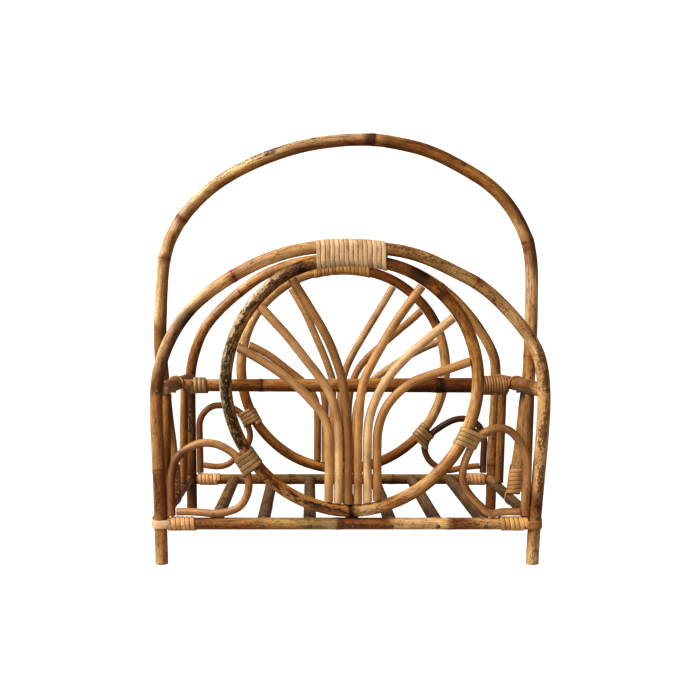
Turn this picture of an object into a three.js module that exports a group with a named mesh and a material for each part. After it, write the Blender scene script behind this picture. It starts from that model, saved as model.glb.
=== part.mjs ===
// A rattan magazine rack. Two like panels stand face to face, each a bent arch whose ends are the
// feet, with a ring, a fan of sticks and two scrolls in it. Poles nailed and tied between the panels
// make the floor and the sides, and a tall bent handle stands halfway between them, so magazines
// stand in two rows. The joints are bound with flat strips of cane.
// Millimetres, Z up, X to the right along the front, Y to the back. The origin lies on the floor,
// below the middle of the rack.
import * as THREE from 'three';

// Overall sizes.
const panelSpacing = 250;
const archHalfWidth = 194;
const handleRise = 445.4;
const ringRadius = 126.3;
const railLevel = 40;

// Pole diameters.
const archPole = 13;
const ringPole = 12.6;
const fanPole = 9.2;
const scrollPole = 8.6;
const frontRailPole = 12;
const backRailPole = 12.8;
const slatPole = 13.4;
const sideBottomPole = 12;
const sideTopPole = 15;
const sidePostPole = 10;
const handlePole = 14.6;
const crossRailThinPole = 13.6;
const crossRailThickPole = 17.4;

// The side poles at the top slope down a little to the back, and the cross rail lies a little
// lower than their middle.
const sideTopLevel = 170;
const sideTopSlope = 7.5;
const crossRailDrop = 1.8;

// Cane strip and how it is wound. One lashing is wound with finer cane.
const caneWidth = 3.8;
const caneThickness = 1;
const canePitch = 4.65;
const fineCaneWidth = 2.4;
const fineCanePitch = 3.1;
const strapWidth = 8;
const caneEnd = 2;
const touchGap = 0.3;
const fanGap = 0.5;

// Counts.
const roundSides = 8;
const thinSides = 6;
const archSteps = 46;
const ringSteps = 56;
const handleSteps = 52;
const scrollSteps = 36;
const fanSteps = 13;
const turnSteps = 10;
const topTurns = 15;
const scrollTurns = 4;
const railTurns = 5.5;
const footTurns = 6;
const crossTurnsLeft = 3.5;
const crossTurnsRight = 6.5;

// A node is the knuckle where a leaf grew: the pole swells a little over a short length.
const nodeLength = 9;
const nodeSwellShare = 1.06;
const scrollTailShare = 0.88;

// The ring's joint is cut aslant: it rises by this share of its width.
const jointSlantShare = 0.5;

const up = new THREE.Vector3(0, 0, 1);
const down = new THREE.Vector3(0, 0, -1);
const right = new THREE.Vector3(1, 0, 0);
const back = new THREE.Vector3(0, 1, 0);
const front = new THREE.Vector3(0, -1, 0);

// The bend of each arch, from the left foot over the top to the right foot, as shares of the
// arch's half width and of its rise. Both are bent by hand, so they differ.
const frontArchShares = [
  [-0.972, 0], [-0.985, 0.252], [-1.001, 0.52], [-0.986, 0.61], [-0.932, 0.704], [-0.83, 0.798],
  [-0.671, 0.8795], [-0.465, 0.949], [-0.26, 0.988], [0, 1], [0.203, 0.989], [0.349, 0.97],
  [0.561, 0.912], [0.685, 0.868], [0.817, 0.793], [0.932, 0.703], [0.977, 0.641], [0.997, 0.536],
  [0.99, 0.421], [0.964, 0.24], [0.944, 0.09], [0.936, 0],
];
const backArchShares = [
  [-0.9615, 0], [-0.9785, 0.281], [-0.9965, 0.52], [-0.9845, 0.61], [-0.9155, 0.695],
  [-0.8115, 0.784], [-0.6825, 0.863], [-0.5215, 0.93], [-0.3165, 0.98], [-0.0065, 1],
  [0.2665, 0.985], [0.3975, 0.963], [0.5275, 0.927], [0.6565, 0.87], [0.7905, 0.798],
  [0.8955, 0.719], [0.9505, 0.639], [0.9805, 0.56], [0.9845, 0.464], [0.9785, 0.2], [0.9735, 0],
];

// The side poles lie behind the legs, so their places follow the arch's half width.
const bottomSideShares = { left: -0.993, right: 0.9585 };
const topSideShares = { left: -0.9836, right: 0.9836 };
const postPlacesShares = { front: -0.3, back: 0.268 };

// Each ring's radius at each twelfth of a turn from its right side, as shares of ringRadius.
const frontRingShares = [1, 1.012, 1, 0.982, 1.008, 1.003, 1, 0.992, 1.002, 1.01, 0.992, 0.986];
const backRingShares = [
  1.02, 1.024, 1, 0.982, 0.998, 1.015, 1.015, 1.012, 1.005, 1.01, 1.02, 1.026,
];

// Each fan stick rises from the bottom of the ring and leans over to the ring's inside. The
// points are shares of ringRadius, across from the stick's foot and up from the ring's middle.
// The back sticks are numbered from the rack's right, as their panel faces the other way.
const frontFanShares = [
  [[0, -1], [0, -0.449], [-0.023, -0.293], [-0.126, -0.15], [-0.284, 0.005], [-0.522, 0.175],
    [-0.727, 0.29]],
  [[0, -1], [0, -0.449], [-0.011, -0.291], [-0.048, -0.132], [-0.133, 0.026], [-0.255, 0.184],
    [-0.378, 0.343], [-0.629, 0.62]],
  [[0, -1], [0, -0.449], [-0.009, -0.291], [-0.023, -0.132], [-0.047, 0.026], [-0.158, 0.343],
    [-0.343, 0.66], [-0.451, 0.835]],
  [[0, -1], [0, -0.449], [0.008, -0.291], [0.019, -0.132], [0.05, 0.026], [0.126, 0.184],
    [0.312, 0.501], [0.512, 0.775]],
  [[0, -1], [0, -0.449], [0.013, -0.291], [0.063, -0.132], [0.15, 0.026], [0.312, 0.21],
    [0.705, 0.54]],
  [[0, -1], [0, -0.45], [0.006, -0.38], [0.041, -0.25], [0.113, -0.132], [0.262, 0],
    [0.498, 0.09], [0.763, 0.18]],
];
const backFanShares = [
  [[0, -1], [0, -0.449], [-0.03, -0.33], [-0.09, -0.215], [-0.19, -0.108], [-0.34, -0.002],
    [-0.55, 0.129], [-0.738, 0.222], [-0.829, 0.259]],
  [[0, -1], [0, -0.449], [-0.013, -0.287], [-0.056, -0.108], [-0.146, 0.049], [-0.225, 0.128],
    [-0.393, 0.275], [-0.492, 0.361], [-0.642, 0.486], [-0.734, 0.57]],
  [[0, -1], [0, -0.449], [-0.005, -0.25], [-0.032, -0.087], [-0.077, 0.04], [-0.13, 0.147],
    [-0.227, 0.314], [-0.333, 0.488], [-0.444, 0.671], [-0.517, 0.797]],
  [[0, -1], [0, -0.449], [0.001, -0.25], [0.006, -0.108], [0.039, -0.011], [0.082, 0.105],
    [0.161, 0.288], [0.288, 0.571], [0.408, 0.78]],
  [[0, -1], [0, -0.447], [0.007, -0.287], [0.054, -0.127], [0.117, -0.021], [0.218, 0.107],
    [0.418, 0.348], [0.6, 0.56]],
  [[0, -1], [0, -0.447], [0.0075, -0.367], [0.0365, -0.287], [0.0885, -0.207], [0.1615, -0.127],
    [0.2895, -0.025], [0.4925, 0.129], [0.6685, 0.222]],
];

// The loop of each scroll, as shares of its spread: how far it stands off the leg, and how high
// above the lashing on the bottom rail. Its tail then lies back along the rail.
const frontScrollShares = {
  left: [
    [0, 0], [0, 0.123], [0.005, 0.279], [0.021, 0.357], [0.051, 0.436], [0.119, 0.503],
    [0.161, 0.529], [0.24, 0.561], [0.319, 0.565], [0.397, 0.547], [0.475, 0.503], [0.517, 0.467],
    [0.552, 0.42], [0.591, 0.357], [0.609, 0.279], [0.605, 0.201], [0.575, 0.123], [0.53, 0.067],
    [0.462, 0.036],
  ],
  right: [
    [0, 0], [0, 0.125], [0.001, 0.285], [0.004, 0.376], [0.016, 0.444], [0.049, 0.528],
    [0.091, 0.599], [0.173, 0.679], [0.254, 0.703], [0.332, 0.689], [0.407, 0.644],
    [0.444, 0.611], [0.477, 0.534], [0.509, 0.444], [0.522, 0.364], [0.517, 0.285],
    [0.478, 0.205], [0.41, 0.125], [0.359, 0.081],
  ],
};
const backScrollShares = {
  left: [
    [0, 0], [0, 0.2], [0, 0.33], [0.02, 0.406], [0.051, 0.466], [0.102, 0.516], [0.173, 0.546],
    [0.242, 0.556], [0.322, 0.542], [0.401, 0.506], [0.462, 0.466], [0.54, 0.406], [0.597, 0.337],
    [0.614, 0.267], [0.603, 0.207], [0.559, 0.127], [0.487, 0.067], [0.428, 0.037],
  ],
  right: [
    [0, 0], [0, 0.28], [0, 0.5], [0.01, 0.546], [0.04, 0.606], [0.09, 0.656], [0.15, 0.686],
    [0.2, 0.692], [0.28, 0.686], [0.36, 0.656], [0.42, 0.616], [0.459, 0.566], [0.509, 0.447],
    [0.519, 0.386], [0.509, 0.327], [0.459, 0.227], [0.399, 0.167], [0.34, 0.127],
  ],
};
const tailOnRailShares = { left: 0.36, right: 0.28 };
const tailEndShares = { left: 0.04, right: 0.035 };

// How far the tail is held up at its first point past the cane, on the cane and at its end. The
// front tails lie down on the rail, and the back ones stay a little above it.
const frontTailLiftShares = { left: [0, 0, 0], right: [0, 0, 0] };
const backTailLiftShares = { left: [0.005, 0.025, 0.037], right: [0.065, 0.03, 0.046] };

// The handle from one side pole over the top to the other, as shares of its half width and of
// its rise above those poles.
const handleShares = [
  [-0.9815, 0], [-0.995, 0.11], [-1, 0.18], [-0.997, 0.29], [-0.99, 0.425], [-0.98, 0.495],
  [-0.962, 0.56], [-0.887, 0.672], [-0.731, 0.799], [-0.525, 0.895], [-0.249, 0.971],
  [0.017, 1], [0.152, 1], [0.292, 0.984], [0.453, 0.951], [0.624, 0.887], [0.777, 0.812],
  [0.885, 0.723], [0.975, 0.59], [0.996, 0.507], [1, 0.466], [1, 0.383], [0.996, 0.218],
  [0.9815, 0],
];
// Its legs, as shares of the way from the foot to the upper side pole.
const handleLegShares = {
  left: [[0.124, 0.23], [0.372, 0.479], [0.636, 0.66], [0.835, 0.84]],
  right: [[0.09, 0.115], [0.3125, 0.297], [0.528, 0.479], [0.83, 0.842]],
};
const handleFootShares = { left: -1.008, right: 1.019 };

// The slats' places, as shares of the half width between the lashings on the bottom rails, and
// where along each slat its node lies.
const slatPlacesShares = [-0.862, -0.557, -0.259, 0.016, 0.257, 0.551, 0.855];
const slatNodesShares = [0.25, 0.32, 0.39, 0.46, 0.53, 0.6, 0.67];

const warmBark = { color: 0xa8713f, roughness: 0.55, metalness: 0 };
const palePeel = { color: 0xc99a5f, roughness: 0.5, metalness: 0 };
const darkBark = { color: 0x6f4a2b, roughness: 0.6, metalness: 0 };
const scrollBark = { color: 0xb0713a, roughness: 0.5, metalness: 0 };
const greyBark = { color: 0x6d5b45, roughness: 0.65, metalness: 0 };
const cane = { color: 0xd0a169, roughness: 0.55, metalness: 0 };

// A named solid of one material.
function piece(name, look, body) {
  const mesh = new THREE.Mesh(body, new THREE.MeshStandardMaterial(look));
  mesh.name = name;
  return mesh;
}

// Skins a row of like sections, each a loop of points, into one closed body.
function skin(sections) {
  const sides = sections[0].length;
  const places = sections.flat().flatMap((corner) => corner.toArray());
  const faces = [];
  for (let i = 0; i < sections.length - 1; i += 1) {
    for (let j = 0; j < sides; j += 1) {
      const a = i * sides + j;
      const b = i * sides + (j + 1) % sides;
      faces.push(a, b, a + sides, b, b + sides, a + sides);
    }
  }
  const last = (sections.length - 1) * sides;
  for (let j = 1; j < sides - 1; j += 1) {
    faces.push(0, j + 1, j, last, last + j, last + j + 1);
  }
  if (signedVolume(places, faces) < 0) {
    faces.reverse();
  }
  const body = new THREE.BufferGeometry();
  body.setAttribute('position', new THREE.Float32BufferAttribute(places, 3));
  body.setIndex(faces);
  body.computeVertexNormals();
  return body;
}

// Six times the volume inside the faces, below zero where they look inwards.
function signedVolume(places, faces) {
  const corner = (k) => new THREE.Vector3().fromArray(places, faces[k] * 3);
  let sum = 0;
  for (let k = 0; k < faces.length; k += 3) {
    sum += corner(k).dot(corner(k + 1).cross(corner(k + 2)));
  }
  return sum;
}

// A smooth line through some points, as evenly spaced points.
function bend(points, steps) {
  return new THREE.CatmullRomCurve3(points, false, 'centripetal').getSpacedPoints(steps);
}

function directionAt(line, i) {
  const before = line[Math.max(i - 1, 0)];
  const after = line[Math.min(i + 1, line.length - 1)];
  return after.clone().sub(before).normalize();
}

function middleOf(points) {
  return points.reduce((sum, point) => sum.add(point), new THREE.Vector3())
    .divideScalar(points.length);
}

// The part of a vector that is square to a direction.
function squareTo(vector, along) {
  return vector.clone().addScaledVector(along, -vector.dot(along)).normalize();
}

// The point of a line that lies nearest to a place, and the line's direction there.
function nearestOn(line, place) {
  const best = { point: null, along: null, distance: Infinity };
  for (let i = 0; i < line.length - 1; i += 1) {
    const stretch = new THREE.Line3(line[i], line[i + 1]);
    const point = stretch.closestPointToPoint(place, true, new THREE.Vector3());
    const distance = point.distanceTo(place);
    if (distance < best.distance) {
      best.point = point;
      best.along = stretch.delta(new THREE.Vector3()).normalize();
      best.distance = distance;
    }
  }
  return best;
}

// Where a line crosses a plane, nearest to a place in that plane.
function crossing(line, place, normal) {
  const plane = new THREE.Plane().setFromNormalAndCoplanarPoint(normal, place);
  const best = { point: null, along: null, distance: Infinity };
  for (let i = 0; i < line.length - 1; i += 1) {
    const stretch = new THREE.Line3(line[i], line[i + 1]);
    const point = plane.intersectLine(stretch, new THREE.Vector3());
    if (point && point.distanceTo(place) < best.distance) {
      const share = point.distanceTo(line[i]) / stretch.distance();
      best.point = point;
      best.along = directionAt(line, i).lerp(directionAt(line, i + 1), share).normalize();
      best.distance = point.distanceTo(place);
    }
  }
  return best;
}

// The places along a pole where it gets a section: its points, and three at each node.
function stationsOf(points, size) {
  const curve = new THREE.CatmullRomCurve3(points, false, 'centripetal');
  const half = nodeLength / 2 / curve.getLength();
  let places = points.map((unused, i) => ({ at: i / (points.length - 1), swell: 1 }));
  for (const node of size.nodeShares || []) {
    places = places.filter((place) => Math.abs(place.at - node) > half * 2);
    places.push({ at: node - half, swell: 1 });
    places.push({ at: node, swell: nodeSwellShare });
    places.push({ at: node + half, swell: 1 });
  }
  places.sort((one, two) => one.at - two.at);
  const endRadius = size.endRadius || size.radius;
  return places.map((place) => ({
    centre: curve.getPointAt(place.at),
    radius: place.swell * (size.radius + (endRadius - size.radius) * place.at),
  }));
}

// Round sections square to the pole. Their first corner lies towards the given side.
function roundSections(stations, side, sides) {
  const line = stations.map((station) => station.centre);
  return stations.map(({ centre, radius }, i) => {
    const along = directionAt(line, i);
    const out = squareTo(side, along);
    const across = new THREE.Vector3().crossVectors(along, out);
    return Array.from({ length: sides }, (unused, j) => {
      const turn = 2 * Math.PI * j / sides;
      return centre.clone()
        .addScaledVector(out, radius * Math.cos(turn))
        .addScaledVector(across, radius * Math.sin(turn));
    });
  });
}

// Moves the corners of the last section along the pole to a plane.
function cutEnd(sections, plane) {
  const end = sections[sections.length - 1];
  const along = middleOf(end).sub(middleOf(sections[sections.length - 2])).normalize();
  end.forEach((corner, j) => {
    const reach = plane.distanceToPoint(corner) / -plane.normal.dot(along);
    end[j] = corner.clone().addScaledVector(along, reach);
  });
}

// The least distance of a flat end from a line, over its corners, edges and middle.
function clearOf(end, line) {
  const edges = end.map((corner, j) => corner.clone().lerp(end[(j + 1) % end.length], 0.5));
  const tested = [...end, ...edges, middleOf(end)];
  return Math.min(...tested.map((point) => nearestOn(line, point).distance));
}

// Cuts the last section flat where the pole butts on another one, with the gap that touching
// poles keep.
function buttEnd(sections, target) {
  const seat = target.radius + touchGap;
  while (clearOf(sections[sections.length - 2], target.line) < seat + touchGap) {
    sections.splice(sections.length - 2, 1);
  }
  const before = middleOf(sections[sections.length - 2]);
  const hit = nearestOn(target.line, middleOf(sections[sections.length - 1]));
  const away = squareTo(before.sub(hit.point), hit.along);
  let offset = seat;
  for (let round = 0; round < 6; round += 1) {
    const place = hit.point.clone().addScaledVector(away, offset);
    cutEnd(sections, new THREE.Plane().setFromNormalAndCoplanarPoint(away, place));
    offset += Math.max(0, seat - clearOf(sections[sections.length - 1], target.line));
  }
}

// One pole along some points. Its ends are cut square, flat on the floor, or butt on other poles.
function pole(name, look, points, size) {
  const sections = roundSections(stationsOf(points, size), size.side || back,
    size.sides || roundSides);
  for (const target of [size.endOn, size.startOn]) {
    if (target) {
      buttEnd(sections, target);
    }
    sections.reverse();
  }
  if (size.onFloor) {
    for (const unused of [size.onFloor, size.onFloor]) {
      cutEnd(sections, new THREE.Plane(up, 0));
      sections.reverse();
    }
  }
  return piece(name, look, skin(sections));
}

// A flat strip of cane along a row of stations, each a place, the direction that its face looks
// in, and its width.
function strip(name, stations) {
  const line = stations.map((station) => station.place);
  const sections = stations.map((station, i) => {
    const along = directionAt(line, i);
    const out = squareTo(station.out, along);
    const wide = new THREE.Vector3().crossVectors(along, out).multiplyScalar(station.width / 2);
    const thick = out.multiplyScalar(caneThickness / 2);
    return [
      station.place.clone().add(wide).add(thick),
      station.place.clone().sub(wide).add(thick),
      station.place.clone().sub(wide).sub(thick),
      station.place.clone().add(wide).sub(thick),
    ];
  });
  console.log(`${name}: least gap between its turns ${leastGap(sections).toFixed(2)} mm`);
  return piece(name, cane, skin(sections));
}

// The least distance between neighbouring turns, measured on points along the strip's edges.
function leastGap(sections) {
  const apart = Math.round(turnSteps * 0.6);
  const samples = 4;
  const rows = sections.slice(0, -1).map((section, i) => section.flatMap((corner, j) => (
    Array.from({ length: samples }, (unused, k) => (
      corner.clone().lerp(sections[i + 1][j], k / samples))))));
  let least = Infinity;
  rows.forEach((row, i) => {
    for (const other of rows.slice(i + apart, i + 2 * turnSteps)) {
      for (const point of row) {
        least = Math.min(least, ...other.map((place) => place.distanceTo(point)));
      }
    }
  });
  return least;
}

// Turns of cane round poles that lie side by side. The winding goes along an axis from a starting
// place, and begins on the given side.
function windTurns(poles, winding) {
  const { start, axis, side, turns, width = caneWidth, pitch = canePitch } = winding;
  const across = new THREE.Vector3().crossVectors(axis, side).normalize();
  const stations = [];
  let before = null;
  let held = 0;
  for (let i = 0; i <= Math.round(turns * turnSteps); i += 1) {
    const turn = 2 * Math.PI * i / turnSteps;
    const out = side.clone().multiplyScalar(Math.cos(turn))
      .addScaledVector(across, Math.sin(turn));
    const level = start.clone().addScaledVector(axis, pitch * i / turnSteps);
    const reached = poles.map((one) => {
      const hit = crossing(one.line, level, axis);
      const reach = caneReach(one.radius) / Math.abs(hit.along.dot(axis));
      const place = hit.point.clone().addScaledVector(out, reach);
      return { place, out: squareTo(out, hit.along), width, farOut: place.dot(out) };
    });
    const next = reached.reduce((far, one, k) => (one.farOut > reached[far].farOut ? k : far), 0);
    if (before && next !== held) {
      const apart = (some) => Math.abs(some[held].farOut - some[next].farOut);
      stations.push(apart(before) < apart(reached) ? before[next] : reached[held]);
    }
    stations.push(reached[next]);
    before = reached;
    held = next;
  }
  return stations;
}

// How far the middle of the cane lies from the middle of the pole that it is wound round.
function caneReach(radius) {
  return (radius + touchGap + caneThickness / 2) / Math.cos(Math.PI / turnSteps);
}

// The first stretch of the cane is straight.
function straightStart(stations) {
  const [first, second] = stations;
  const along = first.place.clone().sub(second.place).setLength(caneEnd);
  stations.unshift({ ...first, place: first.place.clone().add(along) });
}

function straightEnd(stations) {
  stations.reverse();
  straightStart(stations);
  stations.reverse();
}

// The middle line of the ring, which starts and ends at its lowest point, and its middle. It is
// bent round the origin and then set on the bottom rail.
function ringLineOf(own) {
  const bent = own.ringShares.map((share, k) => {
    const turn = 2 * Math.PI * k / own.ringShares.length;
    return new THREE.Vector3(Math.cos(turn), 0, Math.sin(turn)).multiplyScalar(share);
  });
  const line = new THREE.CatmullRomCurve3(bent, true, 'centripetal').getSpacedPoints(ringSteps);
  line.pop();
  const lowest = line.reduce((low, point, i) => (point.z < line[low].z ? i : low), 0);
  const seat = railLevel + own.railPole / 2 + touchGap + ringPole / 2;
  const middle = new THREE.Vector3(own.ringPlaceShare, 0, -line[lowest].z)
    .multiplyScalar(ringRadius).addScaledVector(up, seat);
  return {
    middle,
    line: [...line.slice(lowest), ...line.slice(0, lowest + 1)].map((point) => (
      point.clone().multiplyScalar(ringRadius).add(middle))),
  };
}

// A ring bent from one pole, whose two ends meet at the bottom in a slanting joint.
function ring(name, line) {
  const stations = line.map((centre) => ({ centre, radius: ringPole / 2 }));
  const sections = roundSections(stations, back, roundSides);
  const slant = right.clone().addScaledVector(up, jointSlantShare).normalize();
  for (const side of [-1, 1]) {
    const place = line[0].clone().addScaledVector(slant, -side * touchGap / 2);
    cutEnd(sections, new THREE.Plane().setFromNormalAndCoplanarPoint(slant, place));
    sections.reverse();
  }
  return piece(name, darkBark, skin(sections));
}

// How far a rail lashing keeps off the middle of the leg, and how far it reaches along the rail.
function railLashingSpan() {
  const off = archPole / 2 + 2 * touchGap + caneWidth / 2;
  return { off, reach: off + railTurns * canePitch + caneWidth / 2 };
}

// The middle line of a scroll. It stands against the leg, loops over until it touches the ring,
// and its tail lies back along the bottom rail and over the lashing there.
function scrollLineOf(hand, own, legLine, ringLine) {
  const towards = hand === 'left' ? -1 : 1;
  const radius = scrollPole / 2;
  const tailRadius = radius * scrollTailShare;
  const offLeg = archPole / 2 + touchGap + radius;
  const railTop = railLevel + own.railPole / 2 + touchGap;
  const caneTop = railLevel + caneReach(own.railPole / 2) + caneThickness / 2 + touchGap;
  const caneSpan = railLashingSpan().reach - offLeg;
  const lifts = own.tailLiftShares[hand];
  const loopAt = (spread) => [
    ...own.scrollShares[hand].map(([out, rise]) => [out * spread, caneTop + rise * spread]),
    [Math.max(tailOnRailShares[hand] * spread, caneSpan + 2 * caneWidth),
      railTop + tailRadius + lifts[0] * spread],
    [caneSpan - caneWidth, caneTop + tailRadius + lifts[1] * spread],
    [tailEndShares[hand] * spread, caneTop + tailRadius + lifts[2] * spread],
  ];
  const lineAt = (spread) => bend(loopAt(spread).map(([out, z]) => {
    const leg = crossing(legLine, new THREE.Vector3(towards * archHalfWidth, 0, z), up).point;
    return new THREE.Vector3(leg.x - towards * (offLeg + out), 0, z);
  }), scrollSteps);
  const touching = ringPole / 2 + touchGap + radius;
  let [narrow, wide] = [0, ringRadius * 2];
  for (let round = 0; round < 20; round += 1) {
    const spread = (narrow + wide) / 2;
    const least = Math.min(...lineAt(spread).map((point) => nearestOn(ringLine, point).distance));
    if (least > touching) {
      narrow = spread;
    } else {
      wide = spread;
    }
  }
  return lineAt(narrow);
}

// One panel, built upright in the XZ plane with its outer face towards -Y.
function panel(own) {
  const group = new THREE.Group();
  const { prefix } = own;
  const ringRound = { ...ringLineOf(own), radius: ringPole / 2 };
  const ringTop = Math.max(...ringRound.line.map((point) => point.z));
  const archRise = ringTop + ringRound.radius + 2 * touchGap + archPole / 2;
  const archLine = bend(own.archShares.map(([x, z]) => (
    new THREE.Vector3(x * archHalfWidth, 0, z * archRise))), archSteps);
  const archRound = { line: archLine, radius: archPole / 2 };
  const legAt = (towards) => crossing(archLine,
    new THREE.Vector3(towards * archHalfWidth, 0, railLevel), up).point;

  group.add(pole(`${prefix}_arch`, warmBark, archLine, {
    radius: archRound.radius, nodeShares: own.archNodeShares, onFloor: true,
  }));
  group.add(ring(`${prefix}_ring`, ringRound.line));
  group.add(pole(`${prefix}_bottom_rail`, warmBark, [legAt(-1), legAt(1)], {
    radius: own.railPole / 2,
    nodeShares: own.railNodeShares,
    startOn: archRound,
    endOn: archRound,
  }));
  group.add(...fanSticks(own, ringRound));
  for (const hand of ['left', 'right']) {
    const line = scrollLineOf(hand, own, archLine, ringRound.line);
    group.add(pole(`${prefix}_scroll_${hand}`, scrollBark, line, {
      radius: scrollPole / 2, endRadius: scrollPole / 2 * scrollTailShare, sides: thinSides,
    }));
    group.add(scrollLashing(`${prefix}_scroll_lashing_${hand}`, ringRound.line, line));
    group.add(railLashing(`${prefix}_rail_lashing_${hand}`, hand, legAt, own));
  }
  group.add(topLashing(`${prefix}_top_lashing`, archRound, ringRound));
  return { group, archLine };
}

// Six sticks stand side by side on the ring and fan out above.
function fanSticks(own, ringRound) {
  const middle = (own.fanShares.length - 1) / 2;
  return own.fanShares.map((shares, i) => {
    const foot = own.fanPlaceShare * ringRadius + (i - middle) * (fanPole + fanGap);
    const points = shares.map(([x, z]) => new THREE.Vector3(x, 0, z)
      .multiplyScalar(ringRadius).addScaledVector(right, foot).add(ringRound.middle));
    return pole(`${own.prefix}_fan_stick_${i + 1}`, palePeel, bend(points, fanSteps), {
      radius: fanPole / 2, sides: thinSides, startOn: ringRound, endOn: ringRound,
    });
  });
}

// The top lashing binds the ring to the arch.
function topLashing(name, archRound, ringRound) {
  const top = middleOf([archRound, ringRound].map(({ line }) => line.reduce(
    (high, point) => (point.z > high.z ? point : high))));
  const stations = windTurns([archRound, ringRound], {
    start: top.addScaledVector(right, -topTurns * canePitch / 2),
    axis: right, side: back, turns: topTurns,
  });
  straightStart(stations);
  straightEnd(stations);
  return strip(name, stations);
}

// A scroll lashing binds the loop of a scroll to the ring, where they touch.
function scrollLashing(name, ringLine, scrollLine) {
  const distances = scrollLine.map((point) => nearestOn(ringLine, point).distance);
  const touch = scrollLine[distances.indexOf(Math.min(...distances))];
  const onRing = nearestOn(ringLine, touch);
  const poles = [
    { line: ringLine, radius: ringPole / 2 }, { line: scrollLine, radius: scrollPole / 2 },
  ];
  const start = middleOf([touch, onRing.point])
    .addScaledVector(onRing.along, -scrollTurns * canePitch / 2);
  const stations = windTurns(poles, {
    start, axis: onRing.along, side: back, turns: scrollTurns,
  });
  straightStart(stations);
  straightEnd(stations);
  return strip(name, stations);
}

// Stations of cane that goes part of the way round a pole, from one side towards another.
function wrap(centre, radius, side, other, sweep, width) {
  const steps = Math.ceil(sweep / 2 / Math.PI * turnSteps * 1.5);
  return Array.from({ length: steps + 1 }, (unused, i) => {
    const turn = sweep * i / steps;
    const out = side.clone().multiplyScalar(Math.cos(turn))
      .addScaledVector(other, Math.sin(turn));
    return { place: centre.clone().addScaledVector(out, caneReach(radius)), out, width };
  });
}

// A rail lashing winds round the bottom rail, passes round the outside of the leg and ends
// along the side pole behind it.
function railLashing(name, hand, legAt, own) {
  const towards = hand === 'left' ? -1 : 1;
  const leg = legAt(towards);
  const outwards = right.clone().multiplyScalar(towards);
  const railRound = { line: [legAt(-towards), leg], radius: own.railPole / 2 };
  const { off } = railLashingSpan();
  const stations = windTurns([railRound], {
    start: leg.clone().addScaledVector(outwards, -off - railTurns * canePitch),
    axis: outwards, side: back, turns: railTurns,
  });
  straightStart(stations);
  stations.push(...wrap(leg, archPole / 2, front, outwards, Math.PI / 2, strapWidth));
  const sideOut = Math.abs(own.sidePlaces[hand]) * archHalfWidth + caneReach(sideBottomPole / 2);
  const reach = Math.max(sideOut - Math.abs(leg.x), caneReach(archPole / 2));
  for (const behind of [archPole / 2, archPole * 2]) {
    const place = leg.clone().addScaledVector(outwards, reach).addScaledVector(back, behind);
    stations.push({ place, out: outwards, width: strapWidth });
  }
  return strip(name, stations);
}

const frontPanel = panel({
  prefix: 'front',
  archShares: frontArchShares,
  archNodeShares: [0.107, 0.361, 0.652],
  railNodeShares: [0.474, 0.773],
  railPole: frontRailPole,
  ringPlaceShare: 0.01,
  ringShares: frontRingShares,
  fanShares: frontFanShares,
  fanPlaceShare: 0.0095,
  scrollShares: frontScrollShares,
  tailLiftShares: frontTailLiftShares,
  sidePlaces: bottomSideShares,
});
frontPanel.group.position.y = -panelSpacing / 2;

// The back panel is turned to face the other way.
const backPanel = panel({
  prefix: 'back',
  archShares: backArchShares,
  archNodeShares: [0.11, 0.35, 0.66],
  railNodeShares: [0.33, 0.67],
  railPole: backRailPole,
  ringPlaceShare: -0.0135,
  ringShares: backRingShares,
  fanShares: backFanShares,
  fanPlaceShare: 0.0685,
  scrollShares: backScrollShares,
  tailLiftShares: backTailLiftShares,
  sidePlaces: { left: bottomSideShares.right, right: bottomSideShares.left },
});
backPanel.group.position.y = panelSpacing / 2;
backPanel.group.rotation.z = Math.PI;

const rack = new THREE.Group();
rack.add(frontPanel.group, backPanel.group);

// The two arches as they stand in the rack, for the poles that run between them.
const arches = [frontPanel, backPanel].map(({ group, archLine }) => {
  group.updateMatrixWorld(true);
  const line = archLine.map((point) => point.clone().applyMatrix4(group.matrixWorld));
  return { line, radius: archPole / 2 };
});

// Seven slats, nailed to the insides of the two bottom rails, make the floor.
function floorSlats() {
  const rails = [[-1, frontRailPole], [1, backRailPole]].map(([end, thick]) => ({
    line: [-1, 1].map((side) => new THREE.Vector3(
      side * archHalfWidth, end * panelSpacing / 2, railLevel)),
    radius: thick / 2,
  }));
  const clearHalfWidth = archHalfWidth - railLashingSpan().reach;
  return slatPlacesShares.map((share, i) => {
    const ends = [-1, 1].map((end) => new THREE.Vector3(
      share * clearHalfWidth, end * panelSpacing / 2, railLevel));
    return pole(`floor_slat_${i + 1}`, greyBark, ends, {
      radius: slatPole / 2, side: up, startOn: rails[0], endOn: rails[1],
      nodeShares: [slatNodesShares[i]],
    });
  });
}
rack.add(...floorSlats());

// A pole from front to back on one side, with its ends on the legs.
function sidePole(name, look, line, radius, legs) {
  rack.add(pole(name, look, line, { radius, side: up, startOn: legs[0], endOn: legs[1] }));
  return { line, radius };
}

// At the bottom the side poles stop short of the rail beside the leg too, if that is thicker.
const legsWithRails = arches.map(({ line }, i) => ({
  line, radius: Math.max(archPole, [frontRailPole, backRailPole][i]) / 2,
}));

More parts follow.
